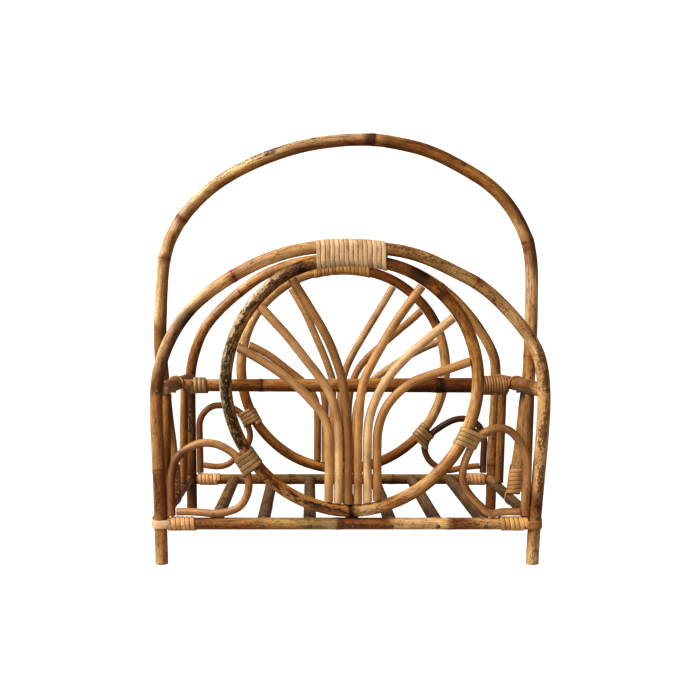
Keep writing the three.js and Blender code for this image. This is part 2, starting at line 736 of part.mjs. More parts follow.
// Two poles on each side run from front to back, and two posts stand between them.
const bottomSides = {};
const topSides = {};
for (const hand of ['left', 'right']) {
  const bottomPlace = bottomSideShares[hand] * archHalfWidth;
  const topPlace = topSideShares[hand] * archHalfWidth;
  const bottomLine = [-1, 1].map((end) => (
    new THREE.Vector3(bottomPlace, end * panelSpacing / 2, railLevel)));
  const topLine = bend([-1, 1].map((end) => new THREE.Vector3(
    topPlace, end * panelSpacing / 2, sideTopLevel - end * sideTopSlope / 2)), 2);
  bottomSides[hand] = sidePole(`side_bottom_rail_${hand}`, greyBark, bottomLine,
    sideBottomPole / 2, legsWithRails);
  topSides[hand] = sidePole(`side_top_rail_${hand}`, warmBark, topLine, sideTopPole / 2, arches);
  for (const [end, share] of Object.entries(postPlacesShares)) {
    const foot = new THREE.Vector3(bottomPlace, share * panelSpacing, railLevel);
    const head = crossing(topLine, foot, back).point;
    rack.add(pole(`side_post_${end}_${hand}`, warmBark, [foot, head], {
      radius: sidePostPole / 2, startOn: bottomSides[hand], endOn: topSides[hand],
    }));
  }
}

// The handle stands on the two side poles at the bottom and passes outside the two at the top.
function handleLineOf() {
  const footLevel = railLevel + sideBottomPole / 2 + touchGap;
  const topPlace = topSideShares.right * archHalfWidth;
  const outside = topPlace + sideTopPole / 2 + touchGap + handlePole / 2;
  const halfWidth = outside / handleShares[handleShares.length - 1][0];
  const points = handleShares.map(([x, z]) => new THREE.Vector3(
    x * halfWidth, 0, sideTopLevel + z * (handleRise - sideTopLevel)));
  const legOf = (hand, end) => {
    const place = handleFootShares[hand] * Math.abs(bottomSideShares[hand]) * archHalfWidth;
    const foot = new THREE.Vector3(place, 0, footLevel);
    const leg = handleLegShares[hand].map(([x, z]) => new THREE.Vector3(
      THREE.MathUtils.lerp(foot.x, end.x, x), 0, THREE.MathUtils.lerp(foot.z, end.z, z)));
    return [foot, ...leg];
  };
  const left = legOf('left', points[0]);
  const other = legOf('right', points[points.length - 1]);
  return bend([...left, ...points, ...other.reverse()], handleSteps);
}
const handleRound = { line: handleLineOf(), radius: handlePole / 2 };
rack.add(pole('handle', warmBark, handleRound.line, {
  radius: handleRound.radius, nodeShares: [0.25, 0.297, 0.525, 0.732, 0.854],
}));

// The cross rail joins the upper side poles and gets thicker to the right.
const crossEnds = ['left', 'right'].map((hand) => (
  new THREE.Vector3(topSideShares[hand] * archHalfWidth, 0, sideTopLevel - crossRailDrop)));
rack.add(pole('cross_rail', darkBark, crossEnds, {
  radius: crossRailThinPole / 2,
  endRadius: crossRailThickPole / 2,
  nodeShares: [0.25, 0.78],
  startOn: topSides.left,
  endOn: topSides.right,
}));

// A foot lashing winds the foot of the handle and hangs a strap round the side pole below it.
function footLashing(name, hand) {
  const inwards = right.clone().multiplyScalar(hand === 'left' ? 1 : -1);
  const foot = handleRound.line[hand === 'left' ? 0 : handleRound.line.length - 1];
  const rise = footTurns * canePitch + caneWidth / 2 + 2 * touchGap;
  const stations = windTurns([handleRound], {
    start: foot.clone().addScaledVector(up, rise), axis: down, side: inwards, turns: footTurns,
  });
  straightStart(stations);
  const centre = new THREE.Vector3(bottomSideShares[hand] * archHalfWidth, 0, railLevel);
  stations.push(...wrap(centre, sideBottomPole / 2, inwards, down, Math.PI, caneWidth));
  straightEnd(stations);
  return strip(name, stations);
}

function crossRadiusAt(place) {
  const share = (place.x - crossEnds[0].x) / (crossEnds[1].x - crossEnds[0].x);
  return THREE.MathUtils.lerp(crossRailThinPole, crossRailThickPole, share) / 2;
}

// A cross lashing winds the end of the cross rail and then goes once round the side pole, in
// front of the handle.
function crossLashing(name, hand, winding) {
  const towards = hand === 'left' ? -1 : 1;
  const outwards = right.clone().multiplyScalar(towards);
  const inwards = outwards.clone().negate();
  const end = crossEnds[hand === 'left' ? 0 : 1];
  const inner = sideTopPole / 2 + caneThickness + 3 * touchGap + strapWidth;
  const length = winding.turns * winding.pitch;
  const start = end.clone().addScaledVector(inwards, inner + length);
  const radius = Math.max(crossRadiusAt(start), crossRadiusAt(end));
  const stations = windTurns([{ line: crossEnds, radius }], {
    ...winding,
    start,
    axis: outwards,
    side: back,
  });
  straightStart(stations);
  const offHandle = handlePole / 2 + touchGap + caneWidth;
  const loopPlace = new THREE.Vector3(end.x, -offHandle, end.z);
  const centre = crossing(topSides[hand].line, loopPlace, back).point;
  stations.push(...wrap(centre, sideTopPole / 2, inwards, up, Math.PI * 1.5, caneWidth));
  straightEnd(stations);
  return strip(name, stations);
}

for (const hand of ['left', 'right']) {
  rack.add(footLashing(`handle_foot_lashing_${hand}`, hand));
}
rack.add(crossLashing('cross_rail_lashing_left', 'left', {
  turns: crossTurnsLeft, pitch: canePitch, width: caneWidth,
}));
rack.add(crossLashing('cross_rail_lashing_right', 'right', {
  turns: crossTurnsRight, pitch: fineCanePitch, width: fineCaneWidth,
}));

export default rack;
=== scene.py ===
import math
import random

import bmesh
import bpy
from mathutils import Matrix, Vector


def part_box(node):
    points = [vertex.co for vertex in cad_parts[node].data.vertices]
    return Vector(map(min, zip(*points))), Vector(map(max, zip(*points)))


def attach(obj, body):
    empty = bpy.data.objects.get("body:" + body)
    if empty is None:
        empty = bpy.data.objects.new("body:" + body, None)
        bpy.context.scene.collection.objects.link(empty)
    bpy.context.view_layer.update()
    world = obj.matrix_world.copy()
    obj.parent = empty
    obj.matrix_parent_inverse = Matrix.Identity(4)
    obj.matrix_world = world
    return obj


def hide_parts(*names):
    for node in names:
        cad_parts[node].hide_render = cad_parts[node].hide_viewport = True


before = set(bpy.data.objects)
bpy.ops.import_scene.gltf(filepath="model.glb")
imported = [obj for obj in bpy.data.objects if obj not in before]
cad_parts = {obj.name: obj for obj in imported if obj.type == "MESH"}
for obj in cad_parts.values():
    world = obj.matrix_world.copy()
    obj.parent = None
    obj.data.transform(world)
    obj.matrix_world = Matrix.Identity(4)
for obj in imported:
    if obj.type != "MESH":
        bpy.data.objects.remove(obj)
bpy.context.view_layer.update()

mm = 0.001


# Camera. The rack is seen straight from the front, a little left of its middle and at about half
# its height, from just under a metre away. The picture is cropped off the lens's middle.
lens_mm, sensor_mm = 49.58, 36
picture_shift = (0.0571, -0.06)
eye_place = (-40.5 * mm, -1089 * mm, 255.5 * mm)
eye = bpy.data.cameras.new("eye")
eye.lens, eye.sensor_width = lens_mm, sensor_mm
eye.shift_x, eye.shift_y = picture_shift
camera = bpy.data.objects.new("eye", eye)
camera.location = eye_place
camera.rotation_euler = (math.radians(90), 0, 0)
bpy.context.scene.collection.objects.link(camera)
bpy.context.scene.camera = camera


# Arches. Each panel stands on one thick rattan pole, steamed and bent by hand into an arch, so
# that its two ends are the feet. The skin is left on: tan with darker rings at the knuckles, and
# stained where sun and damp reached it.
def linear(colour):
    """A colour as it is seen, from 0 to 255, turned into the values that light works with."""
    return [((c / 255 + 0.055) / 1.055) ** 2.4 if c > 10 else c / 255 / 12.92 for c in colour]


def distances(points):
    """How far along their line each of some points lies."""
    marks = [0.0]
    for one, two in zip(points, points[1:]):
        marks.append(marks[-1] + (two - one).length)
    return marks


def along_pole(points, place):
    """The point at a distance along a smooth line through some points."""
    marks = distances(points)
    k = 0
    while k < len(points) - 2 and marks[k + 1] < place:
        k += 1
    slopes = []
    for j in (k, k + 1):
        low, high = max(j - 1, 0), min(j + 1, len(points) - 1)
        slopes.append((points[high] - points[low]) / (marks[high] - marks[low]))
    span = marks[k + 1] - marks[k]
    t = min(max((place - marks[k]) / span, 0), 1)
    return (points[k] * (2 * t ** 3 - 3 * t ** 2 + 1)
            + slopes[0] * span * (t ** 3 - 2 * t ** 2 + t)
            + points[k + 1] * (3 * t ** 2 - 2 * t ** 3)
            + slopes[1] * span * (t ** 3 - t ** 2))


weld_distance = 1e-6
flat_enough = 0.003
packed_sides = (6, 8)
knuckle_ratio = 1.03


def packed_mesh(node):
    """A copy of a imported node's mesh with its corners joined."""
    welded = bmesh.new()
    welded.from_mesh(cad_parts[node].data)
    bmesh.ops.remove_doubles(welded, verts=welded.verts, dist=weld_distance)
    return welded


def pole_layers(node):
    """The rings of corners of a packed pole, followed from one cut end to the other."""
    welded = packed_mesh(node)
    flat = welded.copy()
    bmesh.ops.dissolve_limit(flat, angle_limit=flat_enough, verts=flat.verts, edges=flat.edges)
    caps = [[v.co.copy() for v in f.verts] for f in flat.faces if len(f.verts) in packed_sides]
    first = min(caps, key=lambda corners: distances(corners)[-1])
    flat.free()
    ring = [min(welded.verts, key=lambda v: (v.co - corner).length) for corner in first]
    seen, rings = set(ring), [ring]
    while True:
        nearby = {e.other_vert(v) for v in rings[-1] for e in v.link_edges} - seen
        if not nearby:
            break
        seen |= nearby
        rings.append(list(nearby))
    layers = [[v.co.copy() for v in layer] for layer in rings]
    welded.free()
    return layers


def read_pole(node):
    """The middle line, radii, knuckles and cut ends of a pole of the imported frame."""
    layers = pole_layers(node)
    middles = [sum(layer, Vector()) / len(layer) for layer in layers]
    radii = []
    for i, layer in enumerate(layers):
        way = (middles[min(i + 1, len(middles) - 1)] - middles[max(i - 1, 0)]).normalized()
        offsets = [corner - middles[i] for corner in layer]
        radii.append(sum((o - way * o.dot(way)).length for o in offsets) / len(offsets))
    ends = []
    for layer, middle in ((layers[0], middles[0]), (layers[-1], middles[-1])):
        spread = sorted(((a - middle).cross(b - middle) for a in layer for b in layer),
                        key=lambda n: n.length)
        ends.append((middle, spread[-1].normalized()))
    plain = [radii[0] + (radii[-1] - radii[0]) * i / (len(radii) - 1) for i in range(len(radii))]
    marks = distances(middles)
    knuckles = [m for m, r, p in zip(marks, radii, plain) if r > p * knuckle_ratio]
    return {"points": middles, "length": marks[-1], "radii": (radii[0], radii[-1]),
            "ends": ends, "knuckles": knuckles}


def turn_round(line):
    """Turns a pole's line round, so that it runs from left to right or from front to back."""
    line["points"].reverse()
    line["ends"].reverse()
    line["radii"] = line["radii"][::-1]
    line["knuckles"] = [line["length"] - k for k in line["knuckles"]]


straight_back = 20 * mm
pole_line = {node: read_pole(node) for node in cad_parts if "lashing" not in node}
for line in pole_line.values():
    run = line["points"][-1] - line["points"][0]
    if run.x < -mm or (abs(run.x) < straight_back and run.y < -mm):
        turn_round(line)


def mix_values(a, b, t):
    if isinstance(a, (tuple, list)):
        return [x + (y - x) * t for x, y in zip(a, b)]
    return a + (b - a) * t


usual_gather = 0.2


def between(stops, share):
    """Values between listed stops along a pole. Each stop is a share and its values, the
    last of which may be left out."""
    stops = [stop if len(stop) == 6 else (*stop, usual_gather) for stop in stops]
    if share <= stops[0][0]:
        return stops[0][1:]
    for low, high in zip(stops, stops[1:]):
        if share <= high[0]:
            t = (share - low[0]) / (high[0] - low[0])
            t = t * t * (3 - 2 * t)
            return [mix_values(a, b, t) for a, b in zip(low[1:], high[1:])]
    return stops[-1][1:]


pole_sides = 20
pole_step = 2 * mm
knuckle_zone = 6 * mm
chamfer = 0.5 * mm
cap_middle, cap_rim = 0.55, 0.93
sawn_wood = (214, 178, 130)


def pole_places(line, knuckles):
    """Where the rings of a pole stand, and how full each is: close together at its knuckles, far
    apart elsewhere, and twice at each cut end."""
    places = [chamfer]
    while places[-1] < line["length"] - pole_step - chamfer:
        near = min((abs(places[-1] - k) for k in knuckles), default=1)
        places.append(places[-1] + (pole_step if near > knuckle_zone else pole_step / 4))
    places.append(line["length"] - chamfer)
    return [(0, cap_middle), (0, cap_rim)] + [(place, 1) for place in places] + [
        (line["length"], cap_rim), (line["length"], cap_middle)]


def pole_ways(centres, goes_back):
    """The direction of a pole at each ring, and which way is out from its bend. On a pole that
    goes back from the front, out is up."""
    ways = []
    for i in range(len(centres)):
        low, high = max(i - 2, 0), min(i + 2, len(centres) - 1)
        ways.append((centres[high] - centres[low]).normalized())
    if goes_back:
        return ways, [(Vector((0, 0, 1)) - way * way.z).normalized() for way in ways]
    middle = sum(centres, Vector()) / len(centres)
    half = len(centres) // 2
    swept = ways[half].cross(Vector((0, 1, 0)))
    flip = 1 if swept.dot(centres[half] - middle) >= 0 else -1
    return ways, [way.cross(Vector((0, 1, 0))).normalized() * flip for way in ways]


steepest_cut = 0.25
cut_zone = 15 * mm
ring_spare = 0.15 * mm


def cut_to(corner, way, end, spare):
    """Draws a corner back so that it stays behind the plane that the pole is cut to."""
    middle, normal = end
    facing = way.dot(normal)
    if abs(facing) < steepest_cut:
        return corner
    ahead = (middle - corner).dot(normal) / facing
    return corner + way * min(ahead - spare, 0) if spare else corner + way * ahead


pole_slimmer, pole_uneven, pole_waves = 0.985, 0.012, 3
knuckle_swell, swell_reach = 0.05, 3.5
groove_depth, groove_place, groove_reach = 0.03, 1.2, 0.7


def pole_radius(line, place, waves):
    """Half the thickness of a pole at a place. It tapers, it is a little uneven, and it swells at
    each knuckle, with a groove just past it."""
    share = place / line["length"]
    radius = line["radii"][0] + (line["radii"][1] - line["radii"][0]) * share
    sway = sum(math.sin(a + place / w) for a, w in waves) / pole_waves
    radius *= pole_slimmer + pole_uneven * sway
    for k in line["knuckles"]:
        near = (place - k) / mm
        radius *= 1 + knuckle_swell * math.exp(-(near / swell_reach) ** 2)
        radius *= 1 - groove_depth * math.exp(-((near - groove_place) / groove_reach) ** 2)
    return radius


scar_reach, stain_reach = 0.9, 6


def nearness(place, knuckles, reach):
    """1 at a knuckle and nearly 0 at twice the reach from it, in mm."""
    return max((math.exp(-((place - k) / mm / reach) ** 2) for k in knuckles), default=0)


furrow_fade = 0.01
furrow_width = 0.26


def furrow_depth(furrows, share, turn):
    """How deep a furrow is, in mm, at a share of the pole's length and an angle round it."""
    deepest = 0.0
    for begin, finish, round_to, depth in furrows:
        fade = min(max(min(share - begin, finish - share) / furrow_fade, 0), 1)
        aside = (turn - round_to + math.pi) % (2 * math.pi) - math.pi
        deepest = max(deepest, depth / mm * fade * math.exp(-(aside / furrow_width) ** 2))
    return deepest


def tube_faces(rings, sides):
    """The faces of a tube of so many rings of corners, and its two flat ends."""
    faces = []
    for i in range(rings - 1):
        for j in range(sides):
            a, b = i * sides + j, i * sides + (j + 1) % sides
            faces.append((a, a + sides, b + sides, b))
    faces.append(tuple(range(sides)))
    faces.append(tuple((rings - 1) * sides + j for j in reversed(range(sides))))
    return faces


any_turn = (0, 6.28)
pole_wave = (25, 60)
pole_grain_step = (17, 131)
marks_anywhere = 0.25
gather_width = 0.7
furrow_shade, darkest_scar = 1.5, 1.2


def make_pole(node, stops, seed, faint_knuckles=(), cap=sawn_wood, furrows=()):
    """A round pole along a packed one. Stops say how it looks along its length: the colour of its
    outer and of its inner side, how thickly it is speckled and blotched, and where these marks
    gather: 1 is the outer side of its bend, 0 its face and -1 the inner side. Faint knuckles are
    shares where the skin has a ring and the pole is no thicker. A furrow is a crack along the
    pole, painted darker the deeper it is, as shade in its groove: the shares where it begins and
    ends, how far round the pole it is, and its depth."""
    line = pole_line[node]
    length = line["length"]
    all_knuckles = line["knuckles"] + [share * length for share in faint_knuckles]
    rings = pole_places(line, all_knuckles)
    centres = [along_pole(line["points"], place) for place, _ in rings]
    goes_back = abs((centres[-1] - centres[0]).normalized().y) > 0.5
    ways, outs = pole_ways(centres, goes_back)
    dice = random.Random(seed)
    waves = [(dice.uniform(*any_turn), dice.uniform(*pole_wave) * mm) for _ in range(pole_waves)]
    sideways, onward = (seed * step for step in pole_grain_step)
    verts, grain, tones, marks = [], [], [], []
    for i, (place, fullness) in enumerate(rings):
        way, out = ways[i], outs[i]
        across = way.cross(out)
        share = place / length
        radius = pole_radius(line, place, waves)
        outer, inner, speckle, blotch, gather = between(stops, share)
        scar = nearness(place, all_knuckles, scar_reach)
        stain = nearness(place, all_knuckles, stain_reach)
        from_start, from_end = max(i - 1, 0), max(len(rings) - 2 - i, 0)
        for j in range(pole_sides):
            turn = 2 * math.pi * j / pole_sides
            furrow = furrow_depth(furrows, share, turn)
            side = out * math.cos(turn) + across * math.sin(turn)
            corner = centres[i] + side * (radius * fullness - furrow * mm)
            if place < cut_zone:
                corner = cut_to(corner, -way, line["ends"][0], from_start * ring_spare)
            if place > length - cut_zone:
                corner = cut_to(corner, way, line["ends"][1], from_end * ring_spare)
            verts.append(corner)
            grain.append((radius / mm * math.cos(turn) + sideways,
                          radius / mm * math.sin(turn), place / mm + onward))
            colour = mix_values(inner, outer, 0.5 + 0.5 * math.cos(turn))
            tones.append((*linear(cap if fullness < cap_rim else colour), 1))
            gathered = math.exp(-((math.cos(turn) - gather) / gather_width) ** 2)
            here = marks_anywhere + (1 - marks_anywhere) * gathered
            # Furrows darken the skin the deeper they go: painted shade in the groove.
            marks.append((min(scar + furrow_shade * furrow, darkest_scar), speckle * here,
                          blotch * here, stain))
    faces = tube_faces(len(rings), pole_sides)
    return finish_piece(node + "_look", verts, faces, grain, tones, marks)


def finish_piece(name, verts, faces, grain, tones, marks):
    """Makes a mesh with what its material needs: where each point lies in the pole, its tone, and
    how ringed, speckled, blotched and stained it is."""
    mesh = bpy.data.meshes.new(name)
    mesh.from_pydata(verts, [], faces)
    mesh.shade_smooth()
    for label, kind, values in (("grain", "FLOAT_VECTOR", grain), ("tone", "FLOAT_COLOR", tones),
                                ("marks", "FLOAT_COLOR", marks)):
        layer = mesh.attributes.new(label, kind, "POINT")
        key = "vector" if kind == "FLOAT_VECTOR" else "color"
        layer.data.foreach_set(key, [value for row in values for value in row])
    tidy = bmesh.new()
    tidy.from_mesh(mesh)
    bmesh.ops.recalc_face_normals(tidy, faces=tidy.faces)
    tidy.to_mesh(mesh)
    tidy.free()
    piece = bpy.data.objects.new(name, mesh)
    bpy.context.scene.collection.objects.link(piece)
    return piece


def seat(piece, node, material):
    """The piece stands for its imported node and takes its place."""
    piece.data.materials.append(material)
    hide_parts(node)
    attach(piece, "root")


def new_group(name, inputs, outputs):
    group = bpy.data.node_groups.new(name, "ShaderNodeTree")
    for label, kind, value in inputs:
        socket = group.interface.new_socket(label, in_out="INPUT", socket_type=kind)
        socket.default_value = value
    for label, kind in outputs:
        group.interface.new_socket(label, in_out="OUTPUT", socket_type=kind)
    return group


class Wiring:
    """Adds nodes to a tree and joins them."""

    def __init__(self, tree):
        self.tree = tree

    def add(self, kind, values=(), links=(), **settings):
        node = self.tree.nodes.new(kind)
        for key, value in settings.items():
            setattr(node, key, value)
        for key, value in dict(values).items():
            node.inputs[key].default_value = value
        for key, source in dict(links).items():
            self.tree.links.new(source, node.inputs[key])
        return node

    def feed(self, node, sources):
        """Gives each input of a node a value, or joins it to another node's output."""
        for key, source in sources:
            if hasattr(source, "is_linked"):
                self.tree.links.new(source, node.inputs[key])
            else:
                node.inputs[key].default_value = source

    def combine(self, operation, one, two, clamp=False):
        node = self.add("ShaderNodeMath", operation=operation, use_clamp=clamp)
        self.feed(node, enumerate((one, two)))
        return node.outputs[0]

    def times(self, one, two, clamp=False):
        return self.combine("MULTIPLY", one, two, clamp)

    def plus(self, one, two):
        return self.combine("ADD", one, two)

    def minus(self, one, two):
        return self.combine("SUBTRACT", one, two)

    def ramp(self, source, low, high):
        """A value from 0 to 1 as the source goes from low to high."""
        node = self.add("ShaderNodeMapRange", {"From Min": low, "From Max": high},
                        {"Value": source}, interpolation_type="SMOOTHSTEP")
        return node.outputs[0]

    def noise(self, vector, along, scale, detail=3.0, rough=0.55):
        """Soft noise in grain space. The smaller along is, the longer it is drawn out."""
        scaled = self.add("ShaderNodeVectorMath", {1: (1, 1, along)}, {0: vector},
                          operation="MULTIPLY")
        node = self.add("ShaderNodeTexNoise", {"Scale": scale, "Detail": detail,
                                               "Roughness": rough},
                        {"Vector": scaled.outputs[0]})
        return node.outputs["Fac"]

    def blend(self, share, one, two, mode="MIX"):
        node = self.add("ShaderNodeMix", data_type="RGBA", blend_type=mode)
        self.feed(node, ((0, share), (6, one), (7, two)))
        return node.outputs[2]


dash_colour, scar_colour = (0.07, 0.022, 0.006, 1), (0.03, 0.010, 0.006, 1)
thin_char, thick_char = (0.065, 0.022, 0.007, 1), (0.007, 0.003, 0.001, 1)
scale_colour = (0.44, 0.31, 0.13, 1)


def bark_group():
    """Rattan skin: fibres and long streaks along the pole, soft clouds of colour, short dashes,
    burnt blotches with pale scales where they are thick, and the scar and stain of a knuckle."""
    group = new_group("rattan skin", (
        ("Grain", "NodeSocketVector", (0, 0, 0)), ("Tone", "NodeSocketColor", (1, 1, 1, 1)),
        ("Scar", "NodeSocketFloat", 0.0), ("Speckle", "NodeSocketFloat", 0.0),
        ("Blotch", "NodeSocketFloat", 0.0), ("Stain", "NodeSocketFloat", 0.0),
        ("Fibre", "NodeSocketFloat", 0.3), ("Streak", "NodeSocketFloat", 0.3),
        ("Mottle", "NodeSocketFloat", 0.3)),
        (("Colour", "NodeSocketColor"), ("Roughness", "NodeSocketFloat"),
         ("Height", "NodeSocketFloat")))
    wire = Wiring(group)
    given = wire.add("NodeGroupInput").outputs
    grain = given["Grain"]
    fibre = wire.noise(grain, 0.05, 0.85, 3, 0.6)
    streak = wire.noise(grain, 0.045, 0.42, 3, 0.6)
    cloud = wire.noise(grain, 0.5, 0.055, 3, 0.6)
    mottle = wire.noise(grain, 0.32, 0.34, 4, 0.65)
    dash = wire.noise(grain, 0.4, 0.9, 3, 0.6)
    flock = wire.noise(grain, 0.35, 0.12, 2, 0.5)
    patch = wire.noise(grain, 0.42, 0.27, 5, 0.7)
    scale = wire.noise(grain, 0.42, 0.72, 4, 0.75)
    wear = wire.noise(grain, 0.3, 0.2, 3)

    skin = given["Tone"]
    for pattern, low, high, strength, tint in (
            (cloud, 0.48, 0.7, 0.8, (0.62, 0.5, 0.4)),
            (cloud, 0.5, 0.3, 0.8, (1.35, 1.38, 1.38)),
            (fibre, 0.48, 0.7, given["Fibre"], (0.5, 0.42, 0.36)),
            (fibre, 0.5, 0.3, given["Fibre"], (1.55, 1.55, 1.5)),
            (streak, 0.52, 0.66, given["Streak"], (0.34, 0.24, 0.18)),
            (mottle, 0.5, 0.64, given["Mottle"], (0.58, 0.42, 0.3)),
            (mottle, 0.48, 0.36, given["Mottle"], (1.24, 1.22, 1.14)),
            (cloud, 0.35, 0.6, given["Stain"], (0.74, 0.55, 0.44))):
        share = wire.times(wire.ramp(pattern, low, high), strength)
        skin = wire.blend(share, skin, wire.blend(1.0, skin, (*tint, 1), "MULTIPLY"))

    often = wire.times(given["Speckle"], wire.plus(0.55, wire.ramp(flock, 0.4, 0.65)))
    dashes = wire.ramp(wire.plus(dash, wire.times(often, 0.16)), 0.66, 0.71)
    skin = wire.blend(wire.times(dashes, 0.8), skin, dash_colour)

    blotches = wire.ramp(wire.plus(patch, wire.times(given["Blotch"], 0.33)), 0.72, 0.76)
    thick = wire.ramp(given["Blotch"], 0.6, 0.95)
    broken = wire.ramp(wire.plus(scale, wire.times(flock, 0.3)), 0.66, 0.74)
    scales = wire.times(wire.times(broken, 0.8), thick)
    burnt = wire.blend(scales, wire.blend(thick, thin_char, thick_char),
                       wire.blend(0.55, skin, scale_colour))
    skin = wire.blend(wire.times(blotches, 0.92), skin, burnt)

    uneven = wire.plus(0.1, wire.ramp(wear, 0.46, 0.64))
    skin = wire.blend(wire.times(given["Scar"], uneven, clamp=True), skin, scar_colour)

    rough = wire.plus(wire.plus(0.4, wire.times(blotches, 0.2)), wire.times(fibre, 0.16))
    fibres = wire.plus(wire.times(fibre, 0.8), wire.times(dash, 0.3))
    height = wire.minus(fibres, wire.times(given["Scar"], 1.2))
    height = wire.minus(height, wire.times(blotches, wire.times(scale, 0.8)))
    wire.add("NodeGroupOutput", links={"Colour": skin, "Roughness": rough, "Height": height})
    return group


rattan_skin = bark_group()
skin_relief = 0.3 * mm


def bark_material(name, fibre, streak, mottle, gloss, relief):
    """Rattan skin of one kind: how strong its fibres, streaks and mottling are, how much it
    shines and how deep it feels."""
    material = bpy.data.materials.new(name)
    material.use_nodes = True
    tree = material.node_tree
    wire = Wiring(tree)
    shader = tree.nodes["Principled BSDF"]
    shader.inputs["Specular IOR Level"].default_value = gloss
    grain, tone, marks = (wire.add("ShaderNodeAttribute", attribute_name=label).outputs
                          for label in ("grain", "tone", "marks"))
    split = wire.add("ShaderNodeSeparateColor", links={0: marks["Color"]}).outputs
    skin = wire.add("ShaderNodeGroup", node_tree=rattan_skin)
    wire.feed(skin, {
        "Fibre": fibre, "Streak": streak, "Mottle": mottle, "Grain": grain["Vector"],
        "Tone": tone["Color"], "Scar": split[0], "Speckle": split[1], "Blotch": split[2],
        "Stain": marks["Alpha"]}.items())
    bump = wire.add("ShaderNodeBump", {"Strength": relief, "Distance": skin_relief},
                    {"Height": skin.outputs["Height"]})
    wire.feed(shader, {
        "Base Color": skin.outputs["Colour"], "Roughness": skin.outputs["Roughness"],
        "Normal": bump.outputs["Normal"]}.items())
    return material


warm_bark = bark_material("warm bark", 0.5, 0.5, 0.6, 0.3, 0.45)

tan, honey, gold, olive = (190, 143, 94), (208, 164, 113), (168, 118, 62), (150, 118, 70)
russet, umber, char, orange = (120, 64, 24), (92, 54, 20), (30, 15, 5), (156, 98, 42)
blush, brown, sand, cream_and_highlight = (208, 168, 134), (134, 83, 32), (206, 170, 124), (226, 196, 152)

# Stops: share of the length, outer colour, inner colour, speckle, blotch and where they gather.
front_arch_stops = [
    (0.0, honey, gold, 0.7, 0.3), (0.045, tan, brown, 0.8, 0.4), (0.06, gold, russet, 0.9, 0.55),
    (0.09, gold, russet, 1.0, 0.5), (0.1, brown, russet, 1.0, 0.65), (0.112, tan, brown, 0.5, 0.3),
    (0.185, tan, brown, 0.5, 0.4), (0.2, brown, umber, 0.7, 0.65, 0),
    (0.225, sand, umber, 0.6, 0.5, -0.4), (0.27, blush, umber, 0.6, 0.55, -0.5),
    (0.285, cream_and_highlight, char, 0.6, 0.5, -0.6), (0.31, cream_and_highlight, brown, 0.4, 0.4, -0.6),
    (0.35, tan, tan, 0.3, 0.3, -0.5), (0.3605, tan, orange, 0.4, 0.2),
    (0.362, brown, russet, 0.4, 0.5, 0.4), (0.3645, tan, gold, 0.4, 0.2),
    (0.4, tan, honey, 0.6, 0.3, 0.9), (0.46, honey, gold, 0.6, 0.3, 0.9),
    (0.54, tan, gold, 1.0, 0.4, 0.6), (0.6, olive, gold, 1.1, 0.4, 0.4),
    (0.64, olive, tan, 1.1, 0.4, 0.3), (0.652, brown, tan, 0.8, 0.55),
    (0.675, olive, tan, 0.6, 0.5, -0.5), (0.7, tan, honey, 0.6, 0.3, -0.3),
    (0.74, tan, honey, 1.0, 0.4, 0.3), (0.79, gold, honey, 1.4, 0.32, 0.2),
    (0.83, gold, honey, 1.4, 0.32, 0.1), (0.88, tan, honey, 1.4, 0.32, 0),
    (0.91, tan, tan, 1.2, 0.3), (0.926, tan, umber, 1.2, 0.3), (0.934, russet, brown, 0.9, 0.5),
    (0.945, tan, gold, 0.9, 0.4), (1.0, sand, honey, 0.9, 0.3),
]
back_arch_stops = [
    (0.0, umber, umber, 0.6, 0.4), (0.1, brown, umber, 0.6, 0.5, 0),
    (0.12, tan, umber, 0.8, 0.9, 0), (0.15, tan, umber, 0.8, 0.9, 0),
    (0.17, brown, umber, 0.6, 0.5, 0), (0.22, gold, brown, 0.5, 0.3),
    (0.3, blush, brown, 0.4, 0.2), (0.38, tan, orange, 0.3, 0.1), (0.44, gold, tan, 0.3, 0.2),
    (0.55, tan, orange, 0.3, 0.2), (0.6, brown, orange, 0.5, 0.5), (0.7, gold, tan, 0.5, 0.4, 0.8),
    (0.85, brown, tan, 0.6, 0.5), (1.0, orange, orange, 0.6, 0.4),
]
arch_ring_at = (0.934,)
arches = (("front_arch", front_arch_stops), ("back_arch", back_arch_stops))
for seed, (node, stops) in enumerate(arches, 1):
    seat(make_pole(node, stops, seed, arch_ring_at), node, warm_bark)
